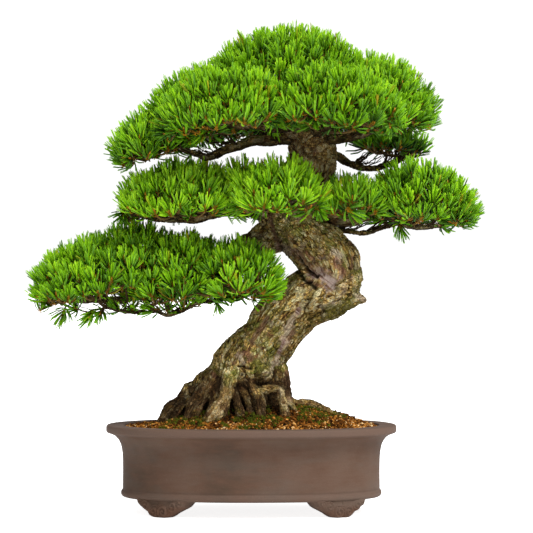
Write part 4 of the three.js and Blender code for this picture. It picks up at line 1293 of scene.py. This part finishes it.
def bundle_mesh(places, axes, bundles, tones, lengths, rng):
    """Bundles of needles held together at the foot, fanning out round each shoot and curving up."""
    count = len(places)
    n = count * bundles
    k = np.tile(np.arange(bundles), count) / (bundles - 1)
    owner = np.repeat(np.arange(count), bundles)
    axis = axes[owner]
    aside, across = frame_of(axis)
    angle = k * (bundles - 1) * GOLDEN_ANGLE + rng.uniform(0, 6.28, count)[owner] + rng.normal(0, 0.35, n)
    opening = np.radians(72 - 62 * k**0.7 + rng.normal(0, 8, n))
    spoke = aside * np.cos(angle)[:, None] + across * np.sin(angle)[:, None]
    first = unit(axis * np.cos(opening)[:, None] + spoke * np.sin(opening)[:, None])
    last = unit(first + axis * 0.85 + UP * 0.2 + rng.normal(0, 0.14, (n, 3)))
    length = (NEEDLE["length"] * lengths[owner] * rng.uniform(0.82, 1.12, n))[:, None]
    foot = places[owner] + axis * ((k - 1) * NEEDLE["shoot"])[:, None] + spoke * 1.1
    bend = foot + first * length * 0.5
    tip = bend + last * length * 0.5
    side = unit(np.cross(unit(first + last), rng.normal(size=(n, 3))))
    each = NEEDLE["bundle"]
    total = n * each
    j = np.tile(np.arange(each) - (each - 1) / 2, n)[:, None]
    foot, bend, tip, side, length = (np.repeat(a, each, 0) for a in (foot, bend, tip, side, length))
    spread = rng.uniform(1.0, 1.7, total)[:, None]
    foot = foot + side * j * 0.35
    bend = bend + side * j * 1.05 + rng.normal(0, 0.15, (total, 3))
    tip = tip + side * j * spread + rng.normal(0, 0.5, (total, 3))
    tip = tip + unit(tip - bend) * rng.uniform(-1.8, 1.2, (total, 1))
    width = NEEDLE["width"] * rng.uniform(0.85, 1.15, total) * 0.5
    verts = np.empty((total, 10, 3))
    for ring, (t, size) in enumerate(((0.0, 0.75), (0.5, 1.05), (0.93, 0.8))):
        middle = foot * (1 - t) ** 2 + bend * (2 * t * (1 - t)) + tip * t * t
        way = unit((bend - foot) * (1 - t) + (tip - bend) * t)
        a, b = frame_of(way)
        for corner in range(3):
            turn = corner * THIRD_TURN + 0.5
            spot = a * math.cos(turn) + b * math.sin(turn)
            verts[:, ring * 3 + corner] = middle + spot * (width * size)[:, None]
    verts[:, 9] = tip
    quads = [[r + c, r + (c + 1) % 3, r + 3 + (c + 1) % 3, r + 3 + c] for r in (0, 3) for c in range(3)]
    tris = [[0, 2, 1], [6, 7, 9], [7, 8, 9], [8, 6, 9]]
    shift = (np.arange(total) * 10)[:, None, None]
    quads, tris = ((np.array(faces) + shift).reshape(-1, len(faces[0])) for faces in (quads, tris))
    tone = np.clip(tones[owner] + rng.normal(0, 0.1, n), 0, 1)
    tone = np.repeat(tone, each) + rng.normal(0, 0.05, total)
    steps = np.repeat([-0.3, 0.0, 0.12, 0.14], [3, 3, 3, 1])
    blue = (rng.uniform(0, 1, total) > 0.72) * rng.uniform(0.2, 0.6, total)
    yellow = np.repeat((rng.uniform(0, 1, n) > 0.985) * rng.uniform(0.4, 0.8, n), each)
    values = {
        "tone": np.clip(tone[:, None] + steps, 0, 1).ravel(),
        "blue": np.repeat(blue, 10),
        "yellow": np.repeat(yellow, 10),
        "sheath": np.tile(np.repeat([1.0, 0.0, 0.0, 0.0], [3, 3, 3, 1]), total),
    }
    return verts.reshape(-1, 3), quads, tris, values


def bezier(a, b, c, d, steps):
    t = np.linspace(0, 1, steps)[None, :, None]
    a, b, c, d = (x[:, None] for x in (a, b, c, d))
    return a * (1 - t) ** 3 + 3 * b * t * (1 - t) ** 2 + 3 * c * t * t * (1 - t) + d * t**3


def build_twigs(name, places, axes, wood, rng):
    """Twigs that fork from the branch to groups of tufts, and from there to each tuft."""
    groups = places[thin_out(places, 62)]
    owner = np.argmin(np.linalg.norm(places[:, None] - groups[None], axis=-1), axis=1)
    nodes = np.array([places[owner == g].mean(0) for g in range(len(groups))])
    away = np.linalg.norm(nodes[:, None] - wood[None, :, :3], axis=-1)
    roots = wood[np.argmin(away, axis=1), :3]
    nodes = nodes + (roots - nodes) * 0.3 - UP * 8 + rng.normal(0, 4, nodes.shape)
    span = np.linalg.norm(nodes - roots, axis=1, keepdims=True)
    flat = unit((nodes - roots) * [1, 1, 0.2])
    limbs = bezier(roots, roots + flat * span * 0.35, nodes - flat * span * 0.25 - UP * 3, nodes, 8)
    limbs[:, 1:-1] += rng.normal(0, 1.4, limbs[:, 1:-1].shape)
    thick = np.linspace(2.6, 1.5, 8)[None] * rng.uniform(0.8, 1.2, (len(nodes), 1))
    start = nodes[owner]
    reach = np.linalg.norm(places - start, axis=1, keepdims=True)
    foot = places - axes * NEEDLE["shoot"]
    leave = unit((foot - start) * [1, 1, 0.4])
    shoots = bezier(start, start + leave * reach * 0.4, foot - axes * reach * 0.35, places - axes * 1.5, 7)
    shoots[:, 1:-2] += rng.normal(0, 0.9, shoots[:, 1:-2].shape)
    thin = np.linspace(1.4, 1.5, 7)[None] * rng.uniform(0.8, 1.2, (len(places), 1))
    limb_parts, shoot_parts = tubes(limbs, thick, 6), tubes(shoots, thin, 5)
    verts, quads, tris = merge([limb_parts, shoot_parts])
    # Dark twig bark, darkened further as painted shade under the needles; the shoots brighten towards their
    # buds.
    tone = np.concatenate([
        np.full(len(limb_parts[0]), 0.25),
        np.tile(np.concatenate([np.repeat(np.linspace(0.35, 0.95, 7), 5), [0.35, 0.95]]), len(places)),
    ])
    twigs = new_object(name + "_twigs", verts * MM, [quads, tris], TWIG, values={"tone": tone})
    finish_piece(twigs, "bark")
    steps = np.array([0, 0.35, 0.7, 1.0])
    paths = places[:, None] + axes[:, None] * (steps * 6.5 - 1.5)[None, :, None]
    radii = np.array([1.4, 2.5, 2.0, 0.7])[None] * rng.uniform(0.7, 1.1, (len(places), 1))
    bud_verts, bud_quads, bud_tris = tubes(paths, radii, 5)
    buds = new_object(name + "_buds", bud_verts * MM, [bud_quads, bud_tris], BUDS)
    finish_piece(buds, "needles")


def build_bare_twigs():
    """Thin dark twigs that leave the limbs below the needles and fork once on their way up into them."""
    rng = np.random.default_rng(131)
    for name, (first, last, count) in BARE_TWIGS.items():
        line = spline(BRANCHES[name], 60)
        at = (rng.uniform(first, last, count) * 58).astype(int)
        start = line[at, :3]
        ahead = unit(line[at + 1, :3] - start)
        turn = rng.uniform(-1, 1, count)[:, None]
        away = unit(ahead * [1, 1, 0.3] + unit(np.cross(ahead, UP)) * turn * 0.9)
        reach = rng.uniform(28, 62, count)[:, None]
        rise = rng.uniform(0.12, 0.75, count)[:, None]
        middle = start + away * reach * 0.5 + UP * (reach * rise * 0.2)
        end = start + away * reach + UP * (reach * rise) + rng.normal(0, 2, (count, 3))
        fork = middle + unit(away + rng.normal(0, 0.5, (count, 3))) * reach * 0.5 + UP * (reach * 0.3)
        stems = bezier(start, start + away * reach * 0.3, middle + away * 4, end, 9)
        forks = bezier(middle, middle + away * 5, (middle + fork) / 2 + UP * 3, fork, 9)
        paths = np.concatenate([stems, forks])
        paths[:, 1:-1] += rng.normal(0, 1.1, paths[:, 1:-1].shape)
        thick = np.linspace(1.9, 0.9, 9)[None] * rng.uniform(0.7, 1.25, (len(paths), 1))
        thick[count:] *= 0.75
        verts, quads, tris = tubes(paths, thick, 6)
        # Dark twig bark, darkened further as painted shade under the needles.
        tone = {"tone": np.full(len(verts), 0.16)}
        twigs = new_object(name + "_twigs", verts * MM, [quads, tris], TWIG, values=tone)
        finish_piece(twigs, "bark")


def build_foliage():
    layers = [place_tufts(*layer[:3], 111 + k) for k, layer in enumerate(LAYERS)]
    wood = np.concatenate([spline(points, 10 * len(points)) for points in BRANCHES.values()])
    wood = np.concatenate([wood, spline(TRUNK, 120)[90:]])
    rng = np.random.default_rng(119)
    for k, name in enumerate(PADS):
        parts, values = [], []
        tuft_places, tuft_axes = [], []
        hanging = np.array(HANGING.get(name, np.zeros((0, 6))), float)
        for layer, (places, normals, owners) in enumerate(layers):
            mine = owners == k
            p, normal = places[mine], normals[mine]
            axis = unit(normal * 0.65 + UP * 0.7 + rng.normal(0, 0.17, p.shape))
            if layer == 0:
                p = np.concatenate([p, hanging[:, :3]])
                axis = np.concatenate([axis, unit(hanging[:, 3:])])
                normal = np.concatenate([normal, np.full((len(hanging), 3), -0.1)])
            if len(p) == 0:
                continue
            bundles, tone = LAYERS[layer][3:]
            # Painted shade: outer tufts that face down are drawn darker.
            low = smoothstep(0.15, -0.35, normal[:, 2])
            tone = tone - 0.2 * low * (layer == 0) + 0.12 * noise(p / 26, 121) + rng.normal(0, 0.06, len(p))
            tone += PAD_TONES.get(name, 0)
            length = rng.uniform(0.86, 1.08, len(p)) * (1 - 0.06 * layer)
            v, q, t, val = bundle_mesh(p, axis, bundles, tone, length, rng)
            parts.append((v, q, t))
            values.append(val)
            tuft_places.append(p)
            tuft_axes.append(axis)
        verts, quads, tris = merge(parts)
        joined = {key: np.concatenate([v[key] for v in values]) for key in values[0]}
        needles = new_object(name + "_needles", verts * MM, [quads, tris], NEEDLES, values=joined)
        finish_piece(needles, "needles", name)
        build_twigs(name, np.concatenate(tuft_places), np.concatenate(tuft_axes), wood, rng)


# ------------------------------------------------------------------ CAD pieces that stay
def dress_frame():
    looks = {"drainage_screen": SCREEN, "screen_wire": WIRE, "root_tie_wire": WIRE, "drainage_layer": PUMICE}
    for name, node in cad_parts.items():
        for start, material in looks.items():
            if name.startswith(start):
                node.data.materials.clear()
                node.data.materials.append(material)


# ------------------------------------------------------------------ studio
def glow(tree, socket, lighting, seen):
    """Sets a strength to one value for what it lights and another for how bright it looks."""
    sight = tree.nodes.new("ShaderNodeLightPath")
    strength = tree.nodes.new("ShaderNodeMapRange")
    strength.inputs["To Min"].default_value = lighting
    strength.inputs["To Max"].default_value = seen
    tree.links.new(sight.outputs["Is Camera Ray"], strength.inputs["Value"])
    tree.links.new(strength.outputs["Result"], socket)


def build_studio():
    scene = bpy.context.scene
    reach = 40.0
    corners = np.array([[-reach, -reach, 0], [reach, -reach, 0], [reach, reach, 0], [-reach, reach, 0]])
    paper = plain_material("pale_floor", (0.9, 0.9, 0.9), (0.94, 0.94, 0.94), 3, 0.9, 0.0, 0.0001)
    glow(paper.node_tree, paper.node_tree.nodes["Principled BSDF"].inputs["Emission Strength"], 0.3, 0.86)
    paper.node_tree.nodes["Principled BSDF"].inputs["Emission Color"].default_value = (1, 1, 1, 1)
    floor = new_object("floor", corners, [np.array([[0, 1, 2, 3]])], paper)
    world = bpy.data.worlds.new("studio")
    world.use_nodes = True
    scene.world = world
    background = world.node_tree.nodes["Background"]
    background.inputs["Color"].default_value = (1, 1, 1, 1)
    glow(world.node_tree, background.inputs["Strength"], 0.46, 1.05)
    for name, energy, spread, aim in (
        ("soft_key", 3.2, 30, (-0.7, 0.7, -1.1)),
        ("soft_fill", 0.1, 60, (0.9, 0.8, -0.5)),
    ):
        sun = bpy.data.lights.new(name, "SUN")
        sun.energy = energy
        sun.angle = math.radians(spread)
        light = bpy.data.objects.new(name, sun)
        light.rotation_euler = Vector(aim).to_track_quat("-Z", "Y").to_euler()
        scene.collection.objects.link(light)
    scene.view_settings.view_transform = "Standard"
    camera = bpy.data.cameras.new("camera")
    camera.lens = 182.4
    camera.sensor_width = 36
    camera.clip_end = 200
    holder = bpy.data.objects.new("camera", camera)
    holder.location = (0.0255, -4.59, 0.416)
    holder.rotation_euler = (math.radians(90), 0, 0)
    scene.collection.objects.link(holder)
    scene.camera = holder


build_studio()
build_pot()
build_soil()
build_grains()
build_moss()
build_trunk()
build_branches()
build_bare_twigs()
build_foliage()
dress_frame()
